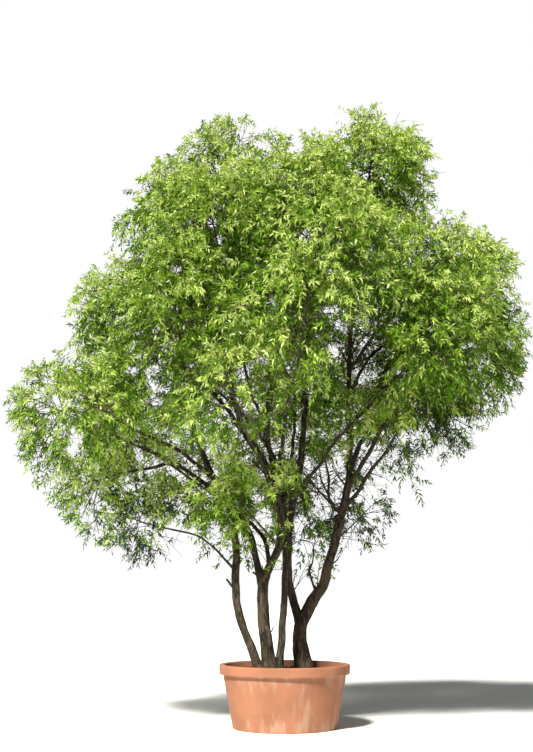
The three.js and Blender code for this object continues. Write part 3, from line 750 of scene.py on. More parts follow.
def swept_rings(points, radii, sides):
    """Rings of points round a centre line. Radii come one to a ring, or one to each of its points."""
    tangents = unit(np.gradient(points, axis=0))
    side = np.array([1.0, 0, 0]) if abs(tangents[0][0]) < NEAR_AXIS else np.array([0, 1.0, 0])
    frames = []
    for tangent in tangents:
        side = unit(side - tangent * side.dot(tangent))
        frames.append((side, np.cross(tangent, side)))
    turns = turns_round(sides)
    frames = np.array(frames)
    across = frames[:, None, 0] * np.cos(turns)[None, :, None]
    spokes = across + frames[:, None, 1] * np.sin(turns)[None, :, None]
    radii = np.broadcast_to(np.reshape(radii, (len(points), -1)), spokes.shape[:2])
    return points[:, None] + spokes * radii[..., None]


class Shell:
    """Points and faces that gather into one mesh, with numbers kept for each point and face."""

    def __init__(self):
        self.points, self.quads, self.triangles = [], [], []
        self.quad_tones, self.triangle_tones = [], []
        self.marks = {}
        self.total = 0

    def add(self, points, quads=None, triangles=None, tones=(None, None), marks=None):
        """Adds a group of points with its faces, the faces' material numbers and the points' marks."""
        points = np.reshape(points, (-1, 3))
        for kept, kept_tones, faces, tone in (
            (self.quads, self.quad_tones, quads, tones[0]),
            (self.triangles, self.triangle_tones, triangles, tones[1]),
        ):
            if faces is not None and len(faces):
                kept.append(np.asarray(faces) + self.total)
                kept_tones.append(np.zeros(len(faces), int) if tone is None else tone)
        for name, values in (marks or {}).items():
            self.marks.setdefault(name, []).append(np.ravel(values))
        self.points.append(points)
        self.total += len(points)

    def capped_rings(self, rings, marks=None):
        """Adds rings of points as a closed tube with flat ends."""
        rows, sides = rings.shape[:2]
        ends = np.stack([rings[0].mean(axis=0), rings[-1].mean(axis=0)])
        points = np.concatenate([rings.reshape(-1, 3), ends])
        around = np.arange(sides)
        beside = (around + 1) % sides
        foot, head = rows * sides, rows * sides + 1
        last = (rows - 1) * sides
        fans = np.concatenate([
            np.stack([np.full(sides, foot), beside, around], axis=-1),
            np.stack([np.full(sides, head), last + around, last + beside], axis=-1),
        ])
        marks = {name: np.append(mark, [END_MARK] * 2) for name, mark in (marks or {}).items()}
        self.add(points, grid_quads(rows, sides), fans, marks=marks)

    def bundle(self, paths, radii, sides):
        """Adds many thin tubes at once, from paths with the same count of points."""
        count, stations = paths.shape[:2]
        tangents = unit(np.gradient(paths, axis=1))
        side, other = square_to(tangents, np.abs(tangents[:, :1, 2:]) > NEAR_AXIS)
        turns = turns_round(sides)
        spokes = side[:, :, None] * np.cos(turns)[:, None] + other[:, :, None] * np.sin(turns)[:, None]
        points = paths[:, :, None] + spokes * radii[:, :, None, None]
        quads = grid_quads(stations, sides)
        offsets = np.arange(count)[:, None, None] * stations * sides
        self.add(points, (quads[None] + offsets).reshape(-1, 4))

    def piece(self, name, materials):
        """Makes the gathered mesh a piece of the willow, and returns its object."""
        mesh = bpy.data.meshes.new(name)
        quads = np.concatenate(self.quads) if self.quads else np.zeros((0, 4), int)
        triangles = np.concatenate(self.triangles) if self.triangles else np.zeros((0, 3), int)
        corners = np.concatenate([quads.ravel(), triangles.ravel()]).astype(np.int32)
        sizes = np.concatenate([np.full(len(quads), 4), np.full(len(triangles), 3)])
        starts = np.concatenate([[0], np.cumsum(sizes)[:-1]]).astype(np.int32)
        points = np.concatenate(self.points)
        mesh.vertices.add(len(points))
        mesh.vertices.foreach_set("co", points.astype(np.float32).ravel())
        mesh.loops.add(len(corners))
        mesh.loops.foreach_set("vertex_index", corners)
        mesh.polygons.add(len(sizes))
        mesh.polygons.foreach_set("loop_start", starts)
        tones = np.concatenate([*self.quad_tones, *self.triangle_tones]).astype(np.int32)
        mesh.polygons.foreach_set("material_index", tones)
        for mark, values in self.marks.items():
            attribute = mesh.attributes.new(mark, "FLOAT", "POINT")
            attribute.data.foreach_set("value", np.concatenate(values).astype(np.float32))
        mesh.update(calc_edges=True)
        mesh.validate()
        mesh.shade_smooth()
        for material in materials:
            mesh.materials.append(material)
        piece = bpy.data.objects.new(name, mesh)
        bpy.context.scene.collection.objects.link(piece)
        return piece


# The crown's layout and limbs, as the source works them out

class Mass:
    """A ball of foliage: its name, middle and radius, in metres."""

    def __init__(self, name, centre, radius):
        self.name = name
        self.centre = np.array(centre, dtype=float) * MM
        self.radius = radius * MM
        self.carrier = None


@functools.cache
def crown_masses():
    """The masses of the crown, ring by ring from the top, and then the low ones."""
    masses = []
    for ring in RINGS:
        for place in ring["at"]:
            bearing = math.radians(BEARINGS[place])
            tilt = ring["rise"] * math.cos(bearing) - ring["drop"] * abs(math.sin(bearing))
            centre = (
                ring["middle"] + ring["half_width"] * math.cos(bearing),
                ring["half_depth"] * math.sin(bearing),
                SOIL_TOP + ring["height"] + tilt,
            )
            masses.append(Mass(f"{ring['name']}_{place}", centre, ring["radius"]))
    for name, (x, y, height, radius) in LOW_MASSES.items():
        masses.append(Mass(name, (x, y, SOIL_TOP + height), radius))
    return masses


def mass_named(name):
    """The mass of a name."""
    return next(mass for mass in crown_masses() if mass.name == name)


def depth_inside(points, mass, ball_slack=0.0, border_slack=0.0):
    """How deep points lie in a mass's own space: its ball, cut by flat borders with its neighbours."""
    from_centre = np.linalg.norm(points - mass.centre, axis=-1)
    depth = mass.radius + ball_slack - from_centre
    own = from_centre ** 2 - mass.radius ** 2
    for other in crown_masses():
        if other is not mass:
            theirs = np.sum((points - other.centre) ** 2, axis=-1) - other.radius ** 2
            between = np.linalg.norm(mass.centre - other.centre)
            depth = np.minimum(depth, (theirs - own) / (2 * between) + border_slack)
    return depth


def depth_in_crown(points):
    """How deep points lie in the whole crown, whose balls melt together where they meet."""
    depths = [mass.radius - np.linalg.norm(points - mass.centre, axis=-1) for mass in crown_masses()]
    return MELT * np.log(np.sum(np.exp(np.array(depths) / MELT), axis=0))


@functools.cache
def crown_skin():
    """Points spread over the outside of the crown, kept in a tree for looking up the nearest."""
    stream = seeded_stream(SEED)
    spots = np.concatenate([
        mass.centre + mass.radius * np.array(even_directions(SKIN_POINTS, stream))
        for mass in crown_masses()
    ])
    return point_tree(spots[depth_in_crown(spots) < SKIN_OPEN])


def under_skin(points):
    """How far points lie from the outside of the crown."""
    return np.array([crown_skin().find(point)[2] for point in points])


def entry_point(mass, origin, tip_radius):
    """Where a limb that comes from a point enters a mass."""
    outward = unit(origin - mass.centre)
    share = ENTRY
    while True:
        point = mass.centre + outward * share * mass.radius
        if depth_inside(point, mass) > tip_radius + CELL_MARGIN * MM or share < ENTRY_LEAST:
            return point
        share -= ENTRY_STEP


class Limb:
    """A stem, bough or side twig: its path with widths, and the coarse line on which others stand."""

    def __init__(self, name, path, rooted=False, parent=None):
        self.name = name
        self.path = np.array(path, dtype=float)
        self.rooted = rooted
        self.parent = parent
        count = (len(self.path) - 1) * RINGS_PER_SPAN
        self.line = self.points_at(np.arange(count + 1) / RINGS_PER_SPAN)
        self.end = self.line[-1]
        self.heading = unit(self.line[-1] - self.line[-2])
        self.tip_width = self.path[-1][3]

    def points_at(self, places):
        """Points of the limb's centre line. The places count its path's spans."""
        return np.array([curve_point(self.path[:, :3], place) for place in places])

    def widths_at(self, places):
        """The limb's widths at places along its path."""
        return np.interp(places, np.arange(len(self.path)), self.path[:, 3])

    def at_height(self, height):
        """The point of the limb's line at a height above the soil, in millimetres."""
        z = (SOIL_TOP + height) * MM
        after = next(i for i, point in enumerate(self.line) if point[2] >= z)
        a, b = self.line[after - 1], self.line[after]
        return blend(a, b, (z - a[2]) / (b[2] - a[2]))

    def width_near(self, point):
        """The limb's width where it passes a point."""
        nearest = np.argmin(np.linalg.norm(self.path[:, :3] - point, axis=1))
        return self.path[nearest][3]


def above_soil(x, y, height):
    """A point in metres, from millimetres with its height above the soil."""
    return np.array([x, y, SOIL_TOP + height]) * MM


@functools.cache
def limbs():
    """Every stem and bough by name. Each is told to the mass that it carries."""
    grown = {}
    for name, stem in STEMS.items():
        path = [[*above_soil(x, y, height), width * MM] for x, y, height, width in stem["path"]]
        parent = grown.get(stem.get("from"))
        if parent:
            path.insert(0, [*parent.at_height(stem["at"]), path[0][3]])
        else:
            path[0][2] += GAP * MM
        mass = mass_named(stem["feeds"])
        tip = entry_point(mass, np.array(path[-1][:3]), stem["tip"] * MM / 2)
        path.append([*tip, stem["tip"] * MM])
        grown[name] = mass.carrier = Limb(name, path, rooted=parent is None, parent=parent)
    for mass_name, bough in BOUGHS.items():
        mass = mass_named(mass_name)
        parent = grown[bough["from"]]
        start = parent.at_height(bough["at"])
        tip_width = bough.get("tip", BOUGH_TIP)
        via = [above_soil(*place) for place in bough.get("via", ())]
        tip = entry_point(mass, via[-1] if via else start, tip_width * MM / 2)
        if not via:
            via.append((start + tip) / 2 + UP * bough["bow"] * MM)
        line = [start, *via, tip]
        widths = np.linspace(bough["width"], tip_width, len(line)) * MM
        path = [[*point, width] for point, width in zip(line, widths)]
        grown[f"bough_{mass_name}"] = mass.carrier = Limb(f"bough_{mass_name}", path, parent=parent)
    return grown


@functools.cache
def side_twigs(dead):
    """The side twigs that have places of their own: the dead ones, or the two kinds of leafy ones."""
    kinds = {"dead": DEAD_TWIGS} if dead else {"twig": LEAFY_TWIGS, "outline": OUTLINE_TWIGS}
    twigs = []
    for kind, rows in kinds.items():
        for points, foot, tip in rows:
            widths = np.linspace(foot, tip, len(points)) * MM
            path = [[*above_soil(*point), width] for point, width in zip(points, widths)]
            twigs.append(Limb(kind, path))
    return twigs


def bearers():
    """The limbs and side twigs that bear leaves."""
    return (*limbs().values(), *side_twigs(dead=False))


# The bark's relief

def limb_stations(limb, fine, coarse=None, crossover=0.0):
    """Places along a limb's path, by one distance below a height and, if it is given, another above it."""
    places = []
    for span in range(len(limb.path) - 1):
        start, end = limb.path[span][:3], limb.path[span + 1][:3]
        step = coarse if coarse and start[2] >= crossover else fine
        count = max(2, round(np.linalg.norm(end - start) / step))
        places.extend(span + k / count for k in range(count))
    return [*places, len(limb.path) - 1]


def bark_relief(turns, along, girth, seed):
    """The height of the bark, 0 in a furrow to 1 on a ridge, by turns round a limb and metres along it."""
    relief = np.zeros(turns.shape)
    sway = lattice_noise(turns * SWAY_WAVES, along / SWAY_LENGTH, (SWAY_WAVES, SWAY_CELLS), seed) - 0.5
    for octave, (pitch, length, share) in enumerate(FURROWS):
        ridges = max(FEWEST_RIDGES, round(girth / pitch))
        lean = turns + sway * SWAY * (1 - 2 * (octave % 2))
        cells = (ridges, FURROW_CELLS)
        relief += share * lattice_noise(lean * ridges, along / length, cells, seed + FURROW_SEED + octave)
    return soft_step((relief - RIDGE_FOOT) / RIDGE_RISE)


def limb_rings(kind, limb, index, settings):
    """A limb's surface with its bark, and the bark's height and age at each point."""
    mesh = LIMB_MESHES[kind]
    sides, seed = mesh["sides"], mesh["seed"] + SEEDS_APART * index
    depth, collar = settings.depth * mesh["depth"], settings.collar * mesh["collar"]
    places = limb_stations(limb, *mesh["rings"])
    points, widths = limb.points_at(places), limb.widths_at(places)
    along = np.concatenate([[0], np.cumsum(np.linalg.norm(np.diff(points, axis=0), axis=1))])
    age = soft_step((widths - YOUNG_WIDTH) / AGEING_WIDTH)
    turns = np.broadcast_to(np.arange(sides) / sides, (len(points), sides))
    lengths = np.broadcast_to(along[:, None], turns.shape)
    relief = bark_relief(turns, lengths, math.pi * widths.mean(), seed)
    radii = np.repeat(widths[:, None] / 2, sides, axis=1)
    cells = (SWELL_WAVES, SWELL_CELLS)
    swell = lattice_noise(turns * SWELL_WAVES, lengths / SWELL_LENGTH, cells, seed + SWELL_SEED) - 0.5
    furrows = depth * blend(YOUNG_RELIEF, 1, age[:, None]) * (relief - RELIEF_LEVEL)
    radii = radii * (1 + SWELL * swell) + furrows
    fade = np.minimum(1, np.minimum(along, along[-1] - along) / WANDER_FADE)
    level = np.zeros(len(along))
    for axis in range(2):
        own_seed = seed + WANDER_SEED + axis
        stray = lattice_noise(along / WANDER_LENGTH, level, (WANDER_CELLS, 1), own_seed) - 0.5
        points[:, axis] += blend(*WANDER, age) * widths * fade * stray
    if limb.rooted:
        height = along[:, None]
        angle = 2 * math.pi * (turns * FLARE_LOBES + LOBE_SWAY * swell) + seed
        lobes = 1 + LOBE_DEPTH * np.cos(angle)
        radii = radii * (1 + FLARE_GAIN * np.exp(-height / FLARE_HEIGHT) * lobes)
    if limb.parent:
        beyond = np.maximum(0, along - limb.parent.width_near(points[0]) / 2)
        radii = radii * (1 + collar * np.exp(-beyond / COLLAR_LENGTH))[:, None]
    marks = {"relief": relief, "age": np.repeat(age[:, None], sides, axis=1)}
    return swept_rings(points, radii, sides), marks


# Growth inside a mass

def seeded_stream(seed):
    """The source's repeatable stream of numbers from 0 to 1."""
    word = 0xFFFFFFFF
    state = seed & word
    while True:
        state = (state + 0x6D2B79F5) & word
        mixed = ((state ^ (state >> 15)) * (state | 1)) & word
        mixed = ((mixed + (((mixed ^ (mixed >> 7)) * (mixed | 61)) & word)) ^ mixed) & word
        yield (mixed ^ (mixed >> 14)) / 4294967296


def even_directions(count, stream):
    """Directions spread evenly over a ball, turned by a seeded angle."""
    phase = 2 * math.pi * next(stream)
    directions = []
    for k in range(count):
        z = 1 - (2 * k + 1) / count
        ring = math.sqrt(1 - z * z)
        angle = phase + GOLDEN * k
        directions.append(np.array([ring * math.cos(angle), ring * math.sin(angle), z]))
    return directions


class Twigs:
    """Arched twigs of one order: each one's start, heading and length, and how it rises and sags."""

    def __init__(self, start, heading, length, rise, sag):
        self.start = np.reshape(start, (-1, 3))
        self.heading = unit(np.reshape(heading, (-1, 3)))
        self.length = np.array(length, dtype=float)
        self.rise = np.broadcast_to(rise, self.length.shape)
        self.sag = np.broadcast_to(sag, self.length.shape)

    def point(self, share):
        """The point of each twig at its own share of its length."""
        lift = self.rise * share - self.sag * share ** 2
        run = self.heading * np.reshape(share, (-1, 1)) + lift[:, None] * UP
        return self.start + self.length[:, None] * run

    def tangent(self, share):
        """The direction in which each twig runs at its own share."""
        return unit(self.heading + (self.rise - 2 * self.sag * share)[:, None] * UP)

    def paths(self, stations):
        """Points along every twig, for its tube."""
        shares = np.linspace(0, 1, stations)
        return np.stack([self.point(np.full(len(self.length), share)) for share in shares], axis=1)

    def keep(self, chosen):
        """Only the chosen twigs."""
        parts = (self.start, self.heading, self.length, self.rise, self.sag)
        return Twigs(*(part[chosen] for part in parts))


def swung(tangents, turns, swings):
    """Directions that swing off their tangents by an angle, each turned round its tangent."""
    side, other = square_to(tangents, np.abs(tangents[:, 2:]) > NEAR_UPRIGHT)
    spoke = side * np.cos(turns)[:, None] + other * np.sin(turns)[:, None]
    return tangents * np.cos(swings)[:, None] + spoke * np.sin(swings)[:, None]


def sprout(parents, rule, scale, rng):
    """Side twigs from every parent by a rule, in turns of the golden angle."""
    count, each = len(parents.length), rule["each"]
    parent = np.repeat(np.arange(count), each)
    step = np.tile((np.arange(each) + 0.5) / each, count)
    step = step + rng.uniform(-STEP_JITTER, STEP_JITTER, count * each) / each
    step[each - 1::each] = 1
    share = blend(*rule["shares"], step)
    turns = GOLDEN * np.tile(np.arange(each), count) + np.repeat(rng.uniform(0, 2 * math.pi, count), each)
    swings = np.radians(blend(*rule["swings"], step)) * rng.uniform(*SWING_VARY, len(step))
    stems = parents.keep(parent)
    heading = swung(stems.tangent(share), turns, swings)
    vary = rng.uniform(1 - rule["vary"], 1 + rule["vary"], len(step))
    length = scale * blend(*rule["lengths"], step) * vary
    rise = rng.uniform(*rule["rise"], len(step))
    sag = rng.uniform(*rule["sag"], len(step))
    return Twigs(stems.point(share), heading, length, rise, sag)


def seen_from_front(points):
    """Where the lines of sight to some points cross the upright plane through the stems."""
    eye = np.array(CAMERA_PLACE)
    return eye - (points - eye) * (eye[1] / (points[:, 1] - eye[1]))[:, None]


def spot_distance(seen, spots):
    """How far points on the plane lie from the nearest oval spot: 0 in its middle, 1 on its rim."""
    nearest = np.full(len(seen), np.inf)
    for x, height, half_width, half_height, *_ in spots:
        middle = above_soil(x, 0, height)
        off = (seen - middle) / (half_width * MM, 1, half_height * MM)
        nearest = np.minimum(nearest, np.hypot(off[:, 0], off[:, 2]))
    return nearest


def inside_spot(seen, spot):
    """How far inside an oval spot points on the plane are: 1 in its middle, 0 well outside it."""
    return soft_step(SPOT_REACH - spot_distance(seen, [spot]))


def gap_loss(seen):
    """The share of the growth that is missing at points on the plane, in the gaps and the patches."""
    cells = seen[:, [0, 2]] / GAP_FRAY_SIZE
    fray = lattice_noise(cells[:, 0], cells[:, 1], GAP_FRAY_CELLS, SEED) - 0.5
    distance = spot_distance(seen, GAPS) + GAP_FRAY * fray
    loss = GAP_LOSS * soft_step((GAP_RIM[0] - distance) / (GAP_RIM[0] - GAP_RIM[1]))
    for *oval, missing, _ in PATCHES:
        loss = np.maximum(loss, missing * inside_spot(seen, oval))
    return loss


@functools.cache
def limb_screen():
    """The limbs as seen from the front: a tree of points along them, their depths and half widths."""
    spots = []
    for limb in bearers():
        places = limb_stations(limb, SCREEN_PITCH)
        points = limb.points_at(places)
        spots.append(np.column_stack([seen_from_front(points), points[:, 1], limb.widths_at(places) / 2]))
    spots = np.concatenate(spots)
    return point_tree(spots[:, :3]), spots[:, 3], spots[:, 4]


def loss_at(points):
    """The share of the growth that is missing at points, as it would fill a gap or hide a limb."""
    seen = seen_from_front(points)
    loss = gap_loss(seen)
    tree, depths, halves = limb_screen()
    foot, head = (height + SOIL_TOP * MM for height in BARE_HEIGHTS)
    bare = np.maximum(1 - soft_step((seen[:, 2] - foot) / (head - foot)), inside_spot(seen, FAN))
    for index in np.nonzero((bare > 0) & (spot_distance(seen, CLUSTERS) > 1))[0]:
        _, limb, distance = tree.find(seen[index])
        if points[index, 1] < depths[limb] and distance < halves[limb] + BARE_REACH:
            loss[index] = max(loss[index], BARE_LOSS * bare[index])
    return loss


def opened(twigs, rng):
    """The twigs without those that would cross a gap or hide a limb."""
    losses = [loss_at(twigs.point(np.full(len(twigs.length), share))) for share in LOSS_TESTS]
    return twigs.keep(rng.random(len(twigs.length)) > np.mean(losses, axis=0))


def held_inside(twigs, rng, edges, mass=None):
    """The twigs, shortened to end inside the crown and near their mass, without the ones too short."""
    ends = np.ones(len(twigs.length))
    edge = rng.uniform(*edges, len(twigs.length))

    def outside():
        tips = twigs.point(ends)
        stray = depth_in_crown(tips) < edge
        return stray | (depth_inside(tips, mass, BALL_SLACK, BORDER_SLACK) < 0) if mass else stray

    for _ in range(SHORTENINGS):
        twigs.length[outside()] *= SHORTENING
    return twigs.keep(~outside() & (twigs.length > TWIG_LEAST))


def reach_inside(start, direction, mass):
    """How far a straight line runs before it leaves a mass's space, or the crown."""
    steps = np.arange(REACH_STEP, 2 * mass.radius, REACH_STEP)
    places = start + direction * steps[:, None]
    in_mass = depth_inside(places, mass, BALL_SLACK, BORDER_SLACK / 2)
    outside = np.nonzero(np.minimum(in_mass, depth_in_crown(places)) < 0)[0]
    return steps[outside[0]] if len(outside) else steps[-1]


class Growth:
    """All the twigs of one mass, order by order."""

    def __init__(self, mass, index):
        self.mass = mass
        stream = seeded_stream(SEED + index)
        side = SIDE_MASSES.get(mass.name)
        carrier = limbs()[side["from"]] if side else mass.carrier
        self.width = side["width"] * MM if side else carrier.tip_width
        base = carrier.at_height(side["at"]) if side else carrier.end
        heading = unit(mass.centre - base) if side else carrier.heading
        inward = mass.centre - base
        bend = blend(base + heading * LEADER_START * np.linalg.norm(inward), mass.centre, LEADER_BEND)
        inward = unit(inward)
        end = mass.centre + inward * LEADER_END * mass.radius
        self.leader = np.array([base, bend, mass.centre])
        count = max(FEWEST_LATERALS, round(LATERALS * min(1, mass.radius / (FULL_RADIUS * MM))))
        directions = sorted(even_directions(count, stream), key=lambda direction: direction.dot(inward))
        roots, headings = [], []
        for k, direction in enumerate(directions):
            place = 2 * (k + 0.5) / count
            near, far = (bend, mass.centre) if place < 1 else (mass.centre, end)
            roots.append(blend(near, far, place % 1))
            next(stream)
            headings.append(unit(direction - UP * DROOP * next(stream)))
        for direction in even_directions(EXTRA_LATERALS, stream):
            roots.append(blend(mass.centre, end, next(stream) - 0.5))
            headings.append(direction)
        roots.append(mass.centre)
        headings.append(inward)
        lengths = [
            AXIS_SHARE * reach_inside(root, heading, mass) for root, heading in zip(roots, headings)
        ]
        self.rng = rng = np.random.default_rng(MASS_SEEDS + index)
        rise = rng.uniform(*AXIS_RISE, len(lengths))
        self.axes = Twigs(roots, headings, lengths, rise, rise + rng.uniform(*AXIS_SAG, len(lengths)))
        edges = OUTER_EDGES.get(mass.name, EDGE)
        branches = sprout(self.axes, BRANCH, mass.radius, rng)
        branches = opened(held_inside(branches, rng, edges, mass), rng)
        leafiness = LEAFINESS.get(mass.name, 1.0)
        clumped = leafiness < CLUMPED
        self.branches = branches.keep(rng.random(len(branches.length)) < (leafiness if clumped else 1))
        self.grow_shoots(1 if clumped else leafiness, SHADED.get(mass.name, 0.0), edges)

    def grow_shoots(self, leafiness, shade, edges):
        """Grows the shoots, fewer of them deep inside the crown."""
        rule = {**SHOOT, "each": round(SHOOT["each"] * max(1, leafiness))}
        shoots = sprout(self.branches, rule, 1.0, self.rng)
        shoots = opened(held_inside(shoots, self.rng, edges, self.mass), self.rng)
        depth = under_skin(shoots.point(np.full(len(shoots.length), SHOOT_MIDDLE)))
        thinned = soft_step((depth - THINNING[0]) / (THINNING[1] - THINNING[0]))
        kept = self.rng.random(len(depth)) < leafiness * blend(1, INSIDE_SHARE, thinned)
        self.shoots, self.depth, self.shade = shoots.keep(kept), depth[kept], shade


class Sprigs(Growth):
    """The leafy twigs that stand on a limb inside the crown, or on a leafy side twig."""

    def __init__(self, limb, index):
        self.mass = None
        self.rng = rng = np.random.default_rng(SPRIG_SEEDS + index)
        kind = limb.name.split("_")[0]
        pitch = SPRIG_PITCH.get(limb.name, SPRIG_PITCH[kind])
        places = np.array(limb_stations(limb, pitch))[:-1]
        places = places + rng.uniform(0, SPRIG_RIPPLE, len(places))
        roots, ahead = limb.points_at(places), limb.points_at(places + SPRIG_AHEAD)
        foot = SPRIG_FOOT.get(limb.name, SPRIG_FOOT[kind]) + SOIL_TOP * MM
        high = (roots[:, 2] > foot) & (depth_in_crown(roots) > SPRIG_EDGE[0])
        roots, ahead = roots[high], ahead[high]
        count = len(roots)
        turns = GOLDEN * np.arange(count) + rng.uniform(0, 2 * math.pi)
        headings = swung(unit(ahead - roots), turns, np.radians(rng.uniform(*SPRIG["swings"], count)))
        lengths, rise, sag = (rng.uniform(*SPRIG[name], count) for name in ("length", "rise", "sag"))
        edges = OUTLINE_EDGE if kind == "outline" else SPRIG_EDGE
        self.branches = held_inside(Twigs(roots, headings, lengths, rise, sag), rng, edges)
        self.grow_shoots(SPRIG_LEAFINESS, SPRIG_SHADE, edges)


@functools.cache
def crown_growth():
    """The growth of every mass. The limbs come first, because the masses grow from them."""
    limbs()
    return [Growth(mass, index) for index, mass in enumerate(crown_masses())]


@functools.cache
def limb_sprigs():
    """The sprigs of every limb and leafy side twig."""
    return [Sprigs(limb, index) for index, limb in enumerate(bearers())]


# Leaves

def darkest_tone(growth):
    """The darkest tone of a mass: only the ones in the crown's own shade have the blue one, as painted
    shade.
    """
    return TONES.index("shade" if growth.shade >= BLUE_SHADE else "deep")


def shoot_tones(growth):
    """A tone for each shoot from its painted light: brighter high up in the crown and in its mass, and near
    the skin, darker under painted shade, with a random spread.
    """
    middles = growth.shoots.point(np.full(len(growth.depth), SHOOT_MIDDLE))
    crown_foot, crown_top = CROWN_SPAN
    in_crown = (middles[:, 2] - crown_foot) / (crown_top - crown_foot)
    spread = growth.rng.normal(0, LIGHT_SPREAD, len(middles))
    light = PLAIN_LIGHT + CROWN_LIGHT * (in_crown - 0.5) + spread
    # Painted shade: darker in a shaded mass and far under the crown's skin
    light -= growth.shade + INSIDE_SHADE * soft_step(growth.depth / THINNING[1])
    seen = seen_from_front(middles)
    for *oval, brighter in CLUSTERS:
        light += brighter * inside_spot(seen, oval) * (middles[:, 1] < 0)
    for *oval, _, brighter in PATCHES:
        light += brighter * inside_spot(seen, oval)
    # Painted light: brighter high in its own mass
    if growth.mass:
        light += MASS_LIGHT * (middles[:, 2] - growth.mass.centre[2]) / growth.mass.radius
    tones = np.maximum(np.digitize(light, TONE_STEPS), darkest_tone(growth))
    return np.where(growth.rng.random(len(middles)) < GOLD_SHARE, TONES.index("gold"), tones)


def leaf_rows(growth, sizes):
    """Every leaf of a mass: its six points, its tone, and whether it has its full outline."""
    shoots, rng = growth.shoots, growth.rng
    each = sizes.leaves_per_shoot
    shoot = np.repeat(np.arange(len(shoots.length)), each)
    place = np.tile((np.arange(each) + LEAF_PLACE) / each, len(shoots.length))
    share = LEAF_FOOT + LEAF_RUN * place
    count = len(share)
    stems = shoots.keep(shoot)
    spiral = GOLDEN * np.tile(np.arange(each), len(shoots.length))
    turns = spiral + rng.uniform(-LEAF_TURN, LEAF_TURN, count)
    swings = blend(*LEAF_SWINGS, place) + rng.uniform(-LEAF_SWING_VARY, LEAF_SWING_VARY, count)
    heading = swung(stems.tangent(share), turns, np.radians(swings))
    heading = unit(heading + UP * rng.uniform(*LEAF_LIFT, count)[:, None])
    least, added = LEAF_LENGTHS
    length = sizes.leaf_length * (least + added * np.sin(math.pi * place ** LEAF_LONGEST_POWER))
    length = length * rng.uniform(*LEAF_LENGTH_VARY, count)
    least, added = LEAF_WIDTHS
    width = sizes.leaf_width * (least + added * np.sin(math.pi * place))
    width = width * rng.uniform(*LEAF_WIDTH_VARY, count)
    full = growth.depth[shoot] < FULL_OUTLINE
    length *= np.where(full, 1, INNER_LEAF[0]) * (1 - SHADE_SHRINK * growth.shade)
    width *= np.where(full, 1, INNER_LEAF[1])
    facing = unit(UP * LEAF_FACE_UP + rng.normal(0, LEAF_FACE_VARY, (count, 3)))
    across = unit(np.cross(heading, facing))
    hang = rng.uniform(*LEAF_HANG, count)
    root = stems.point(share)
    rows = [root]
    for at, half in LEAF_OUTLINE:
        spine = root + length[:, None] * (heading * at - UP * (hang * at ** 2)[:, None])
        half_blade = across * (width * half)[:, None]
        rows.extend([spine + half_blade, spine - half_blade])
    rows.append(root + length[:, None] * (heading - UP * hang[:, None]))
    # Each leaf takes its shoot's tone of painted light and shade, and some step one tone up or down at
    # random
    tones = shoot_tones(growth)[shoot]
    strays = rng.random(count)
    green = tones < TONES.index("silver")
    step = np.where(strays < STRAY_SHARE, -1, np.where(strays < 2 * STRAY_SHARE, 1, 0))
    tones = np.where(green, np.clip(tones + step, darkest_tone(growth), TONES.index("lit")), tones)
    tones = np.where(green & (strays > 1 - SILVER_SHARE), TONES.index("silver"), tones)
    left = rng.random(len(root)) > loss_at(root)
    return np.stack(rows, axis=1)[left], tones[left], full[left]


def add_leaves(shell, points, tones, full):
    """Adds leaves: six points each in their full outline, and four for the ones deep in the crown."""
    outline = points[full]
    first = np.arange(len(outline))[:, None] * 6
    quads = first + np.array([1, 2, 4, 3])
    feet = first + np.array([0, 2, 1])
    tips = first + np.array([3, 4, 5])
    shell.add(outline, quads, np.concatenate([feet, tips]), tones=(tones[full], np.tile(tones[full], 2)))
    kites = points[~full][:, [0, 1, 2, 5]]
    first = np.arange(len(kites))[:, None] * 4
    halves = np.concatenate([first + np.array([0, 2, 1]), first + np.array([1, 2, 3])])
    shell.add(kites, triangles=halves, tones=(None, np.tile(tones[~full], 2)))


# Materials

class Socket:
    """A shader socket on which Python's arithmetic adds Math nodes."""

    def __init__(self, finish, link):
        self.finish = finish
        self.link = link

    def math(self, operation, first, second):
        """The result of a Math node."""
        return self.finish.node("ShaderNodeMath", {"operation": operation}, {0: first, 1: second})

    def __add__(self, other):
        return self.math("ADD", self, other)

    def __radd__(self, other):
        return self.math("ADD", other, self)

    def __sub__(self, other):
        return self.math("SUBTRACT", self, other)

    def __rsub__(self, other):
        return self.math("SUBTRACT", other, self)

    def __mul__(self, other):
        return self.math("MULTIPLY", self, other)

    def __rmul__(self, other):
        return self.math("MULTIPLY", other, self)


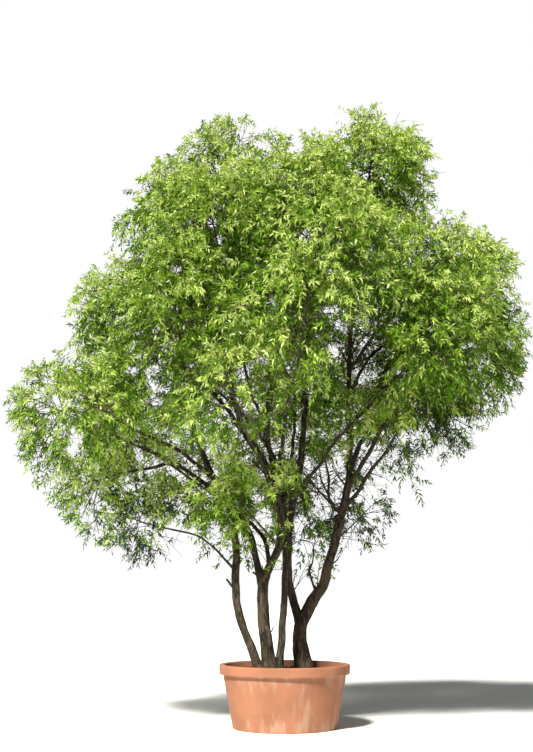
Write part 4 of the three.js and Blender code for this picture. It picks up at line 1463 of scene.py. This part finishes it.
class Finish:
    """A material or a world in the making."""

    def __init__(self, owner, output="ShaderNodeOutputMaterial"):
        self.owner = owner
        self.output = output
        owner.use_nodes = True
        self.tree = owner.node_tree
        self.tree.nodes.clear()

    def node(self, kind, settings, inputs, output=0):
        """Adds a node: its settings first, then the values or links of its sockets."""
        node = self.tree.nodes.new(kind)
        for name, value in settings.items():
            setattr(node, name, value)
        for name, value in inputs.items():
            if isinstance(value, Socket):
                self.tree.links.new(value.link, node.inputs[name])
            else:
                node.inputs[name].default_value = value
        return Socket(self, node.outputs[output]) if node.outputs else None

    def place(self, stretch=(1, 1, 1)):
        """The point of the surface in metres, stretched along each axis."""
        spot = self.node("ShaderNodeTexCoord", {}, {}, "Object")
        return self.node("ShaderNodeVectorMath", {"operation": "MULTIPLY"}, {0: spot, 1: stretch})

    def noise(self, place, scale, detail, roughness=0.55):
        """Cloudy noise from about 0.2 to 0.8, some cells to a metre."""
        return self.node(
            "ShaderNodeTexNoise", {},
            {"Vector": place, "Scale": scale, "Detail": detail, "Roughness": roughness},
        )

    def pattern(self, pattern):
        """Noise with a stretch of its own."""
        return self.noise(self.place(pattern["stretch"]), *pattern["noise"])

    def between(self, value, low, high):
        """A mask that runs from 0 to 1 as a value goes from low to high."""
        settings = {"interpolation_type": "SMOOTHSTEP"}
        inputs = {"Value": value, "From Min": low, "From Max": high}
        return self.node("ShaderNodeMapRange", settings, inputs)

    def mix(self, mask, first, second):
        """The first colour where a mask is 0, and the second where it is 1."""
        settings = {"data_type": "RGBA", "clamp_factor": True}
        return self.node("ShaderNodeMix", settings, {0: mask, 6: first, 7: second}, 2)

    def mark(self, name):
        """A number that the mesh keeps for each of its points."""
        return self.node("ShaderNodeAttribute", {"attribute_name": name}, {}, "Fac")

    def bump(self, height, strength, distance):
        """A normal that follows a height, for relief too fine to be meshed."""
        inputs = {"Height": height, "Strength": strength, "Distance": distance}
        return self.node("ShaderNodeBump", {}, inputs)

    def shader(self, inputs):
        """The surface's main shader."""
        return self.node("ShaderNodeBsdfPrincipled", {}, inputs)

    def done(self, shader):
        """Ends the nodes in a shader, and returns what they belong to."""
        self.node(self.output, {}, {"Surface": shader})
        return self.owner


def darker(colour, share):
    """A colour at a share of its brightness, which is lighter where the share is over 1."""
    return (*(value * share for value in colour[:3]), 1.0)


# Patterns in the finishes. The noise is in cells to a metre, with its detail and its
# roughness, the stretch is less than 1 along the way that the pattern is drawn out, and
# the share is how far it shows.
BARK_GRAIN = {"stretch": (1, 1, 0.2), "noise": (46.0, 5.0, 0.7), "share": 0.8}
BARK_PATCHES = {"stretch": (1, 1, 0.35), "noise": (7.0, 4.0, 0.6), "share": 0.35}
BARK_ALGAE = {"stretch": (1, 1, 0.6), "noise": (4.0, 2.0), "share": 0.4}
CLAY_CLOUD = (3.0, 5.0)
CLAY_SPECKLE = (140.0, 3.0)
CLAY_STREAKS = {"stretch": (1, 1, 0.16), "noise": (9.0, 5.0, 0.6)}
CLAY_RINGS = {"stretch": (0.02, 0.02, 1), "noise": (55.0, 2.0)}
SOIL_CRUMBS = (70.0, 5.0, 0.7)
SOIL_DAMP = (4.0, 2.0)
FLOOR_CLOUD = (0.4, 2.0)

# Between which values of its pattern each mask of a finish goes from 0 to 1
BARK_MASKS = {
    "ridge": (0.52, 0.86), "weathered": (0.52, 0.64), "damp": (0.5, 0.3), "young": (0.3, 0.7),
    "old": (0.0, 0.6), "algae": (0.5, 0.7),
}
CLAY_MASKS = {"cloud": (0.3, 0.7), "grog": (0.55, 0.75), "bloom": (0.56, 0.74)}
SOIL_MASKS = {"crumbs": (0.35, 0.7), "damp": (0.45, 0.65)}

# How much brighter or darker than its own colour a finish is where it is weathered,
# damp, young, fired harder, dry or clouded
WEATHERED = 2.4
DAMP = 0.45
YOUNG_DARK = 0.55
CLAY_DARK = 0.78
CLAY_PALE = 1.35
SOIL_SHADES = {"wet": 0.5, "dry": 1.5, "damp": 0.6}
FLOOR_DARK = 0.985
BOUGH_DARK = 0.85
SIDE_TWIG_DARK = 0.9

# How much the meshed relief counts beside the grain in the colour, what the bumps are
# made of, and how strong they are and how deep, in metres
FURROW_TINT = 0.4
RELIEF_BUMP = 0.7
GRAIN_BUMP = 0.5
CLAY_BUMPS = {"speckle": 0.3, "rings": 0.5, "streaks": 0.2}
BARK_RELIEF = (0.7, 0.008)
CLAY_RELIEF = (0.35, 0.004)
SOIL_RELIEF = (0.8, 0.01)

# Between which heights the lime's bloom fades above the pot's foot, grows towards its
# band and ends under it, how much it gains there, how much rougher it is than the clay,
# and how far it, the grog in the clay and the damp soil show
BLOOM_FOOT = (0.02, 0.34)
BLOOM_NECK = (0.44, 0.6)
BLOOM_BAND = (0.6, 0.64)
BLOOM_GAINS = {"foot": 0.16, "neck": 0.1}
BLOOM_ROUGHER = 0.1
CLAY_ROUGHNESS = 0.82
BLOOM_SHARE = 0.5
GROG_SHARE = 0.35
DAMP_SHARE = 0.5

# What the light that passes through a leaf keeps of its colour
THROUGH_TINT = (1.25, 1.25, 0.6)


def bark_finish(name, ridge, colours):
    """Furrowed bark: dark in its furrows, weathered on its ridges, smoother and greener when young."""
    finish = Finish(bpy.data.materials.new(name))
    relief, age = finish.mark("relief"), finish.mark("age")
    grain = finish.pattern(BARK_GRAIN)
    patches = finish.pattern(BARK_PATCHES)
    algae = finish.pattern(BARK_ALGAE)
    proud = finish.between(relief * FURROW_TINT + grain, *BARK_MASKS["ridge"])
    old = finish.mix(proud, colours.furrow, ridge)
    weathered = finish.between(grain, *BARK_MASKS["weathered"]) * BARK_GRAIN["share"]
    old = finish.mix(weathered, old, darker(ridge, WEATHERED))
    damp = finish.between(patches, *BARK_MASKS["damp"]) * BARK_PATCHES["share"]
    old = finish.mix(damp, old, darker(ridge, DAMP))
    smooth = finish.between(grain, *BARK_MASKS["young"])
    young = finish.mix(smooth, darker(colours.moss, YOUNG_DARK), colours.moss)
    colour = finish.mix(finish.between(age, *BARK_MASKS["old"]), young, old)
    green = finish.between(algae, *BARK_MASKS["algae"]) * BARK_ALGAE["share"]
    colour = finish.mix(green, colour, colours.moss)
    height = relief * RELIEF_BUMP + grain * GRAIN_BUMP
    return finish.done(finish.shader({
        "Base Color": colour, "Roughness": 0.9, "Specular IOR Level": 0.15,
        "Normal": finish.bump(height, *BARK_RELIEF),
    }))


def leaf_finish(name, colour, share_through):
    """A leaf of one plain colour that lets some light through."""
    finish = Finish(bpy.data.materials.new(name))
    surface = finish.shader({"Base Color": colour, "Roughness": 0.4, "Specular IOR Level": 0.08})
    tint = (*(value * gain for value, gain in zip(colour, THROUGH_TINT)), 1)
    through = finish.node("ShaderNodeBsdfTranslucent", {}, {"Color": tint})
    return finish.done(finish.node("ShaderNodeMixShader", {}, {0: share_through, 1: surface, 2: through}))


def twig_finish(name, colour):
    """Thin bark of one colour, on twigs too fine to show a pattern."""
    finish = Finish(bpy.data.materials.new(name))
    return finish.done(finish.shader({"Base Color": colour, "Roughness": 0.7, "Specular IOR Level": 0.3}))


def clay_finish(colours):
    """Fired clay: mottled, with a bloom of lime low down and under the rim, and throwing lines."""
    finish = Finish(bpy.data.materials.new("clay"))
    place = finish.place()
    cloud = finish.noise(place, *CLAY_CLOUD)
    speckle = finish.noise(place, *CLAY_SPECKLE)
    streaks = finish.pattern(CLAY_STREAKS)
    rings = finish.pattern(CLAY_RINGS)
    mottled = finish.between(cloud, *CLAY_MASKS["cloud"])
    colour = finish.mix(mottled, darker(colours.clay, CLAY_DARK), colours.clay)
    grog = finish.between(speckle, *CLAY_MASKS["grog"]) * GROG_SHARE
    colour = finish.mix(grog, colour, darker(colours.clay, CLAY_PALE))
    height = finish.node("ShaderNodeSeparateXYZ", {}, {0: place}, "Z")
    low = 1 - finish.between(height, *BLOOM_FOOT)
    under_band = finish.between(height, *BLOOM_NECK) * (1 - finish.between(height, *BLOOM_BAND))
    lime = streaks + low * BLOOM_GAINS["foot"] + under_band * BLOOM_GAINS["neck"]
    bloom = finish.between(lime, *CLAY_MASKS["bloom"])
    colour = finish.mix(bloom * BLOOM_SHARE, colour, colours.bloom)
    relief = speckle * CLAY_BUMPS["speckle"] + rings * CLAY_BUMPS["rings"] + streaks * CLAY_BUMPS["streaks"]
    return finish.done(finish.shader({
        "Base Color": colour, "Roughness": bloom * BLOOM_ROUGHER + CLAY_ROUGHNESS, "Specular IOR Level": 0.3,
        "Normal": finish.bump(relief, *CLAY_RELIEF),
    }))


def soil_finish(colour):
    """Dark crumbly soil with paler dry crumbs."""
    finish = Finish(bpy.data.materials.new("soil"))
    place = finish.place()
    crumbs = finish.noise(place, *SOIL_CRUMBS)
    damp = finish.noise(place, *SOIL_DAMP)
    wet, dry = darker(colour, SOIL_SHADES["wet"]), darker(colour, SOIL_SHADES["dry"])
    shade = finish.mix(finish.between(crumbs, *SOIL_MASKS["crumbs"]), wet, dry)
    damp = finish.between(damp, *SOIL_MASKS["damp"]) * DAMP_SHARE
    shade = finish.mix(damp, shade, darker(colour, SOIL_SHADES["damp"]))
    return finish.done(finish.shader({
        "Base Color": shade, "Roughness": 0.95, "Specular IOR Level": 0.15,
        "Normal": finish.bump(crumbs, *SOIL_RELIEF),
    }))


def floor_finish(colour):
    """A smooth pale studio floor, faintly clouded."""
    finish = Finish(bpy.data.materials.new("studio_floor"))
    cloud = finish.noise(finish.place(), *FLOOR_CLOUD)
    shade = finish.mix(cloud, darker(colour, FLOOR_DARK), colour)
    return finish.done(finish.shader({"Base Color": shade, "Roughness": 0.9, "Specular IOR Level": 0.1}))


# Sizes and colours that a user would change

def colour_property(name, description, default):
    """A colour that a user can change."""
    return bpy.props.FloatVectorProperty(
        name=name, description=description, default=(*default, 1.0), size=4, subtype="COLOR",
        min=0.0, max=1.0,
    )


class PotSettings(bpy.types.PropertyGroup):
    wobble: bpy.props.FloatProperty(
        name="Wobble", description="How far the hand-made wall strays from a true round",
        default=0.002, min=0.0, max=0.01, unit="LENGTH",
    )
    clay: colour_property("Clay", "Colour of the fired clay", (0.31, 0.132, 0.07))
    bloom: colour_property("Bloom", "Colour of the lime that the wall sweats out", (0.38, 0.26, 0.18))


class SoilSettings(bpy.types.PropertyGroup):
    roughness: bpy.props.FloatProperty(
        name="Unevenness", description="How far the soil's surface rises and falls",
        default=0.012, min=0.0, max=0.05, unit="LENGTH",
    )
    clods: bpy.props.IntProperty(
        name="Clods", description="Lumps of soil on the surface", default=420, min=0,
    )
    soil: colour_property("Soil", "Colour of the damp soil", (0.055, 0.034, 0.021))


class BarkSettings(bpy.types.PropertyGroup):
    depth: bpy.props.FloatProperty(
        name="Furrow depth", description="Depth of the bark's furrows on the oldest wood",
        default=0.009, min=0.0, max=0.03, unit="LENGTH",
    )
    collar: bpy.props.FloatProperty(
        name="Fork collar", description="How much a limb thickens where it leaves its parent",
        default=0.35, min=0.0, max=1.0, subtype="FACTOR",
    )
    olive: colour_property("Olive bark", "Plates of the middle and left stems", (0.05, 0.039, 0.025))
    red: colour_property("Red-brown bark", "Plates of the right stem", (0.05, 0.036, 0.024))
    tan: colour_property("Tan bark", "Plates of the slim stem", (0.044, 0.038, 0.027))
    furrow: colour_property("Furrow", "Colour deep in the furrows", (0.016, 0.012, 0.008))
    moss: colour_property("Young bark", "Green-grey of young bark and of algae", (0.045, 0.04, 0.023))


class LeafSettings(bpy.types.PropertyGroup):
    leaf_length: bpy.props.FloatProperty(
        name="Leaf length", description="Length of a full-grown leaf",
        default=0.0645, min=0.02, unit="LENGTH",
    )
    leaf_width: bpy.props.FloatProperty(
        name="Leaf width", description="Width of a full-grown leaf",
        default=0.0152, min=0.004, unit="LENGTH",
    )
    leaves_per_shoot: bpy.props.IntProperty(
        name="Leaves on a shoot", description="How many leaves each shoot bears",
        default=19, min=4, max=40,
    )
    through: bpy.props.FloatProperty(
        name="Light through", description="Share of the light that passes through a leaf",
        default=0.28, min=0.0, max=1.0, subtype="FACTOR",
    )
    # Shade leaf to Lit leaf are one green under painted shade and painted light, dealt by where each shoot
    # grows; Silver leaf and Gold leaf are the leaves' own colours
    shade: colour_property("Shade leaf", "Blue-green leaves low in the shade", (0.024, 0.046, 0.046))
    deep: colour_property("Deep leaf", "Dark green leaves", (0.042, 0.108, 0.003))
    mid: colour_property("Middle leaf", "Plain green leaves", (0.14, 0.255, 0.018))
    fresh: colour_property("Fresh leaf", "Bright green leaves", (0.25, 0.38, 0.05))
    lit: colour_property("Lit leaf", "Yellow-green leaves at the top of a mass", (0.43, 0.53, 0.15))
    silver: colour_property("Silver leaf", "Leaves that show their pale underside", (0.5, 0.59, 0.28))
    gold: colour_property("Gold leaf", "A few leaves that have turned", (0.42, 0.4, 0.06))
    shoot: colour_property("Shoot", "Young green-brown shoots", (0.13, 0.13, 0.03))
    twig: colour_property("Twig", "Older brown twigs", (0.05, 0.04, 0.022))


class StageSettings(bpy.types.PropertyGroup):
    floor: colour_property("Floor", "Colour of the studio floor", (0.86, 0.86, 0.86))
    surround: colour_property("Surround", "Colour of the studio's walls and light", (1.0, 1.0, 1.0))
    floor_radius: bpy.props.FloatProperty(
        name="Floor radius", description="How far the floor runs", default=60.0, min=5.0, unit="LENGTH",
    )
    fill: bpy.props.FloatProperty(
        name="Fill light", description="Strength of the light from all round", default=0.2, min=0.0,
    )
    key: bpy.props.FloatProperty(
        name="Key light", description="Strength of the main light", default=9.2, min=0.0,
    )
    key_softness: bpy.props.FloatProperty(
        name="Key softness", description="Angle that the main light fills",
        default=math.radians(9), unit="ROTATION",
    )


# Operators

def finish_piece(piece, slot, *nodes):
    """Sets a piece on the root body and hides the nodes of the part that it stands for. Its slot is not
    used.
    """
    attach(piece, "root")
    if nodes:
        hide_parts(*nodes)


class WILLOW_OT_stage(bpy.types.Operator):
    """Adds the studio floor, the lights and the camera"""

    bl_idname = "willow.stage"
    bl_label = "Stage"

    def execute(self, context):
        settings = context.scene.willow_stage
        camera = bpy.data.objects.new("camera", bpy.data.cameras.new("camera"))
        camera.data.lens = CAMERA_LENS
        camera.data.clip_end = CAMERA_FAR
        camera.location = CAMERA_PLACE
        aim = np.array(CAMERA_AIM) - np.array(CAMERA_PLACE)
        camera.rotation_euler = (math.pi / 2 + math.atan2(aim[2], aim[1]), 0, 0)
        context.scene.collection.objects.link(camera)
        context.scene.camera = camera
        shell = Shell()
        rings = np.linspace(FLOOR_HUB, settings.floor_radius, FLOOR_RINGS)
        turns = turns_round(FLOOR_SIDES)
        x, y = np.outer(rings, np.cos(turns)), np.outer(rings, np.sin(turns))
        upward_quads = grid_quads(FLOOR_RINGS, FLOOR_SIDES)[:, ::-1]
        shell.add(np.stack([x, y, np.zeros(x.shape)], axis=-1), upward_quads)
        floor = shell.piece("floor", [floor_finish(settings.floor)])
        sun = bpy.data.objects.new("key_light", bpy.data.lights.new("key_light", "SUN"))
        sun.data.energy = settings.key
        sun.data.angle = settings.key_softness
        sun.data.color = KEY_COLOUR
        sun.rotation_euler = Vector(KEY_DIRECTION).to_track_quat("-Z", "Y").to_euler()
        context.scene.collection.objects.link(sun)
        context.scene.world = self.surround(settings)
        context.scene.view_settings.view_transform = "Standard"
        return {"FINISHED"}

    def surround(self, settings):
        """A white studio that lights the willow less strongly than it shows."""
        studio = Finish(bpy.data.worlds.new("studio"), "ShaderNodeOutputWorld")
        seen = studio.node("ShaderNodeBackground", {}, {"Color": settings.surround})
        lit = {"Color": settings.surround, "Strength": settings.fill}
        light = studio.node("ShaderNodeBackground", {}, lit)
        to_camera = studio.node("ShaderNodeLightPath", {}, {}, "Is Camera Ray")
        return studio.done(studio.node("ShaderNodeMixShader", {}, {0: to_camera, 1: light, 2: seen}))


def rounded_profile(corners):
    """A profile's points, with each corner rounded by its own radius and the straights cut short."""
    points = []
    for i, (x, z, radius) in enumerate(corners):
        corner = np.array([x, z])
        if radius == 0:
            points.append(corner)
            continue
        before = np.array(corners[i - 1][:2])
        after = np.array(corners[i + 1][:2])
        a = corner + unit(before - corner) * radius
        b = corner + unit(after - corner) * radius
        for share in np.linspace(0, 1, POT_CORNER_POINTS):
            points.append((1 - share) ** 2 * a + 2 * share * (1 - share) * corner + share ** 2 * b)
    dense = [points[0]]
    for a, b in zip(points, points[1:]):
        count = max(1, math.ceil(np.linalg.norm(b - a) / POT_PROFILE_STEP))
        dense.extend(blend(a, b, k / count) for k in range(1, count + 1))
    return np.array(dense)


def wall_radius(z):
    """The outside of the pot's wall at a height."""
    return blend(POT_FOOT_RADIUS, POT_RIM_RADIUS - POT_BAND_PROUD, z / POT_HEIGHT)


class WILLOW_OT_pot(bpy.types.Operator):
    """Adds the round clay pot with its banded rim and drain holes"""

    bl_idname = "willow.pot"
    bl_label = "Pot"

    def execute(self, context):
        settings = context.scene.willow_pot
        band_foot = POT_HEIGHT - POT_BAND_HEIGHT
        inside = POT_RIM_RADIUS - POT_BAND_PROUD - POT_WALL
        profile = rounded_profile([
            (POT_HUB, 0, 0),
            (POT_FOOT_RADIUS, 0, POT_ROUNDING["foot"]),
            (wall_radius(band_foot), band_foot, POT_ROUNDING["neck"]),
            (POT_RIM_RADIUS - POT_BAND_DRAFT, band_foot + POT_BAND_STEP, POT_ROUNDING["band"]),
            (POT_RIM_RADIUS, POT_HEIGHT, POT_ROUNDING["rim"]),
            (inside, POT_HEIGHT, POT_ROUNDING["lip"]),
            (wall_radius(POT_FLOOR) - POT_WALL, POT_FLOOR, POT_ROUNDING["floor"]),
            (POT_HUB, POT_FLOOR, 0),
        ])
        turns = turns_round(POT_SIDES)
        lanes = np.arange(len(profile))[:, None]
        waves = turns[None] / (2 * math.pi) * WOBBLE_WAVES
        stray = lattice_noise(waves, lanes / WOBBLE_LANES, WOBBLE_CELLS, POT_SEEDS["wobble"]) - 0.5
        level = np.zeros((1, POT_SIDES))
        lines = lattice_noise(level, lanes / LINE_LANES, LINE_CELLS, POT_SEEDS["lines"]) - 0.5
        free = soft_step(profile[:, :1] / WOBBLE_FREE)
        wobble = settings.wobble * stray + settings.wobble * LINE_SHARE * lines - settings.wobble
        radii = profile[:, :1] + free * wobble
        heights = np.repeat(profile[:, 1:], POT_SIDES, axis=1)
        rings = np.stack([radii * np.cos(turns), radii * np.sin(turns), heights], axis=-1)
        shell = Shell()
        shell.capped_rings(rings)
        pot = shell.piece("clay_pot", [clay_finish(settings)])
        self.drain(context, pot)
        finish_piece(pot, "clay", "pot")
        return {"FINISHED"}

    def drain(self, context, pot):
        """Cuts the drain holes through the pot's floor."""
        cutter_mesh = bmesh.new()
        for k in range(DRAIN_COUNT):
            angle = 2 * math.pi * k / DRAIN_COUNT
            made = bmesh.ops.create_cone(
                cutter_mesh, cap_ends=True, segments=DRAIN_SIDES,
                radius1=DRAIN_RADIUS, radius2=DRAIN_RADIUS, depth=CUTTER_LENGTH,
            )
            shift = (DRAIN_RING * math.cos(angle), DRAIN_RING * math.sin(angle), CUTTER_HEIGHT)
            bmesh.ops.translate(cutter_mesh, verts=made["verts"], vec=shift)
        mesh = bpy.data.meshes.new("drain_cutter")
        cutter_mesh.to_mesh(mesh)
        cutter_mesh.free()
        cutter = bpy.data.objects.new("drain_cutter", mesh)
        context.scene.collection.objects.link(cutter)
        modifier = pot.modifiers.new("drain", "BOOLEAN")
        modifier.operation = "DIFFERENCE"
        modifier.object = cutter
        modifier.solver = "EXACT"
        cut = bpy.data.meshes.new_from_object(pot.evaluated_get(context.evaluated_depsgraph_get()))
        pot.modifiers.remove(modifier)
        pot.data = cut
        bpy.data.objects.remove(cutter)


class WILLOW_OT_soil(bpy.types.Operator):
    """Adds the soil with its crumbly surface"""

    bl_idname = "willow.soil"
    bl_label = "Soil"

    def execute(self, context):
        settings = context.scene.willow_soil
        top = SOIL_TOP * MM
        edge = wall_radius(top) - POT_WALL - SOIL_CLEARANCE
        foot = wall_radius(POT_FLOOR) - POT_WALL - SOIL_CLEARANCE
        turns = turns_round(SOIL_SIDES)
        radii = np.concatenate([[foot, edge], edge * np.linspace(*SOIL_RINGS)])
        x, y = np.outer(radii, np.cos(turns)), np.outer(radii, np.sin(turns))
        rough = 0
        for scale, share, seed in SOIL_BUMPS:
            across, along = x * scale + SOIL_LATTICE_START, y * scale + SOIL_LATTICE_START
            rough = rough + share * (lattice_noise(across, along, SOIL_LATTICE, seed) - 0.5)
        z = top + settings.roughness * rough - SOIL_SINK
        z[0] = POT_FLOOR + SOIL_LIFT
        z[1] = top - SOIL_SHOULDER
        shell = Shell()
        shell.capped_rings(np.stack([x, y, z], axis=-1))
        self.scatter(shell, settings.clods, top, edge)
        soil = shell.piece("potting_soil", [soil_finish(settings.soil)])
        finish_piece(soil, "earth", "soil")
        return {"FINISHED"}

    def scatter(self, shell, count, top, edge):
        """Adds lumps of soil, each a ball knocked out of round."""
        ball = bmesh.new()
        bmesh.ops.create_icosphere(ball, subdivisions=2, radius=1)
        corners = np.array([vertex.co[:] for vertex in ball.verts])
        faces = np.array([[vertex.index for vertex in face.verts] for face in ball.faces])
        ball.free()
        rng = np.random.default_rng(CLOD_SEED)
        for _ in range(count):
            size = rng.uniform(*CLOD_SIZES) * rng.uniform(*CLOD_SHRINK)
            away = edge * CLOD_SPREAD * math.sqrt(rng.random())
            turn = rng.uniform(0, 2 * math.pi)
            knocks = rng.uniform(*CLOD_KNOCKS, (len(corners), 1))
            lump = corners * knocks * rng.uniform(*CLOD_STRETCH, 3) * size
            middle = [away * math.cos(turn), away * math.sin(turn), top + size * CLOD_LIFT]
            shell.add(lump + middle, triangles=faces)


class WILLOW_OT_stems(bpy.types.Operator):
    """Adds the five stems with their furrowed bark"""

    bl_idname = "willow.stems"
    bl_label = "Stems"

    def execute(self, context):
        settings = context.scene.willow_bark
        finishes = {
            "stem_centre": bark_finish("bark_olive", settings.olive, settings),
            "stem_right": bark_finish("bark_red", settings.red, settings),
            "stem_slim": bark_finish("bark_tan", settings.tan, settings),
        }
        finishes["stem_left"] = finishes["stem_centre"]
        finishes["stem_back"] = finishes["stem_right"]
        for index, name in enumerate(STEMS):
            shell = Shell()
            shell.capped_rings(*limb_rings("stem", limbs()[name], index, settings))
            stem = shell.piece(name.replace("stem_", "willow_stem_"), [finishes[name]])
            finish_piece(stem, "bark", name)
        return {"FINISHED"}


class WILLOW_OT_boughs(bpy.types.Operator):
    """Adds the boughs that carry the masses of leaves"""

    bl_idname = "willow.boughs"
    bl_label = "Boughs"

    def execute(self, context):
        settings = context.scene.willow_bark
        shell = Shell()
        names = [f"bough_{name}" for name in BOUGHS]
        for index, name in enumerate(names):
            shell.capped_rings(*limb_rings("bough", limbs()[name], index, settings))
        finish = bark_finish("bark_bough", darker(settings.olive, BOUGH_DARK), settings)
        boughs = shell.piece("willow_boughs", [finish])
        finish_piece(boughs, "bark", *names)
        return {"FINISHED"}


class WILLOW_OT_side_twigs(bpy.types.Operator):
    """Adds the stubs, the dead twigs and the leafy side twigs, which have places of their own"""

    bl_idname = "willow.side_twigs"
    bl_label = "Side twigs"

    def execute(self, context):
        settings = context.scene.willow_bark
        finish = bark_finish("bark_twig", darker(settings.red, SIDE_TWIG_DARK), settings)
        for name, dead in (("dead_twigs", True), ("leafy_twigs", False)):
            shell = Shell()
            for index, twig in enumerate(side_twigs(dead)):
                shell.capped_rings(*limb_rings("side_twig", twig, index, settings))
            finish_piece(shell.piece(name, [finish]), "bark")
        return {"FINISHED"}


class WILLOW_OT_twigs(bpy.types.Operator):
    """Adds the leaders, side branches and shoots inside the masses"""

    bl_idname = "willow.twigs"
    bl_label = "Twigs"

    def execute(self, context):
        settings = context.scene.willow_leaves
        branches, shoots = Shell(), Shell()
        for growth in crown_growth():
            self.add_leader(branches, growth.leader, growth.width / 2)
            self.add_axes(branches, growth.axes, growth.width / 2)
        for growth in (*crown_growth(), *limb_sprigs()):
            self.add_tubes(branches, growth.branches, BRANCH_TUBE)
            self.add_tubes(shoots, growth.shoots, SHOOT_TUBE)
        finish_piece(branches.piece("willow_twigs", [twig_finish("twig", settings.twig)]), "bark")
        finish_piece(shoots.piece("willow_shoots", [twig_finish("shoot", settings.shoot)]), "leaves")
        return {"FINISHED"}

    def add_leader(self, shell, leader, half_width):
        """Adds a mass's leader, from its carrier's tip to its own middle."""
        places = np.linspace(0, len(leader) - 1, LEADER_TUBE["rings"])
        line = np.array([curve_point(leader, place) for place in places])
        radii = blend(half_width, half_width * LEADER_TUBE["taper"], places / places[-1])
        shell.capped_rings(swept_rings(line, radii, LEADER_TUBE["sides"]))

    def add_axes(self, shell, axes, half_width):
        """Adds a mass's laterals, of which the last one carries its leader on."""
        taper = np.linspace(1, AXIS_TUBE["taper"], AXIS_TUBE["rings"])
        feet = np.full(len(axes.length), half_width * AXIS_TUBE["foot"])
        feet[-1] = half_width * LEADER_TUBE["taper"]
        shell.bundle(axes.paths(AXIS_TUBE["rings"]), feet[:, None] * taper, AXIS_TUBE["sides"])

    def add_tubes(self, shell, twigs, tube):
        """Adds twigs that all have the same width at the foot and at the tip."""
        rings = tube["rings"]
        radii = blend(*tube["radii"], np.linspace(0, 1, rings))
        shell.bundle(twigs.paths(rings), np.broadcast_to(radii, (len(twigs.length), rings)), tube["sides"])


class WILLOW_OT_leaves(bpy.types.Operator):
    """Adds the leaves, joined by their part of the crown"""

    bl_idname = "willow.leaves"
    bl_label = "Leaves"

    def execute(self, context):
        settings = context.scene.willow_leaves
        finishes = [
            leaf_finish(f"leaf_{tone}", getattr(settings, tone), settings.through) for tone in TONES
        ]
        for group, starts in LEAF_GROUPS.items():
            growths = [growth for growth in crown_growth() if growth.mass.name.startswith(starts)]
            leaves = self.joined(group, growths, settings, finishes)
            finish_piece(leaves, "leaves", *(f"foliage_{growth.mass.name}" for growth in growths))
        finish_piece(self.joined("leaves_inner", limb_sprigs(), settings, finishes), "leaves")
        return {"FINISHED"}

    def joined(self, name, growths, settings, finishes):
        """One piece of the leaves on all the shoots of some growths."""
        shell = Shell()
        for growth in growths:
            if len(growth.depth):
                add_leaves(shell, *leaf_rows(growth, settings))
        return shell.piece(name, finishes)


STEPS = (
    WILLOW_OT_stage, WILLOW_OT_pot, WILLOW_OT_soil, WILLOW_OT_stems, WILLOW_OT_boughs, WILLOW_OT_side_twigs,
    WILLOW_OT_twigs, WILLOW_OT_leaves,
)
SETTINGS = {
    "willow_stage": StageSettings, "willow_pot": PotSettings, "willow_soil": SoilSettings,
    "willow_bark": BarkSettings, "willow_leaves": LeafSettings,
}


class WILLOW_PT_sidebar(bpy.types.Panel):
    """Lists the willow's steps and settings"""

    bl_label = "Potted Willow"
    bl_idname = "WILLOW_PT_sidebar"
    bl_space_type = "VIEW_3D"
    bl_region_type = "UI"
    bl_category = "Willow"

    def draw(self, context):
        for step in STEPS:
            self.layout.operator(step.bl_idname)
        for name, group in SETTINGS.items():
            box = self.layout.box()
            for field in group.__annotations__:
                box.prop(getattr(context.scene, name), field)


def register():
    for group in (*SETTINGS.values(), *STEPS, WILLOW_PT_sidebar):
        bpy.utils.register_class(group)
    for name, group in SETTINGS.items():
        setattr(bpy.types.Scene, name, bpy.props.PointerProperty(type=group))


def unregister():
    for name in SETTINGS:
        delattr(bpy.types.Scene, name)
    for group in reversed((*SETTINGS.values(), *STEPS, WILLOW_PT_sidebar)):
        bpy.utils.unregister_class(group)


def main():
    """Builds the willow and its stage step by step."""
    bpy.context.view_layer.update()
    register()
    for step in STEPS:
        area, name = step.bl_idname.split(".")
        getattr(getattr(bpy.ops, area), name)()


if __name__ == "__main__":
    main()
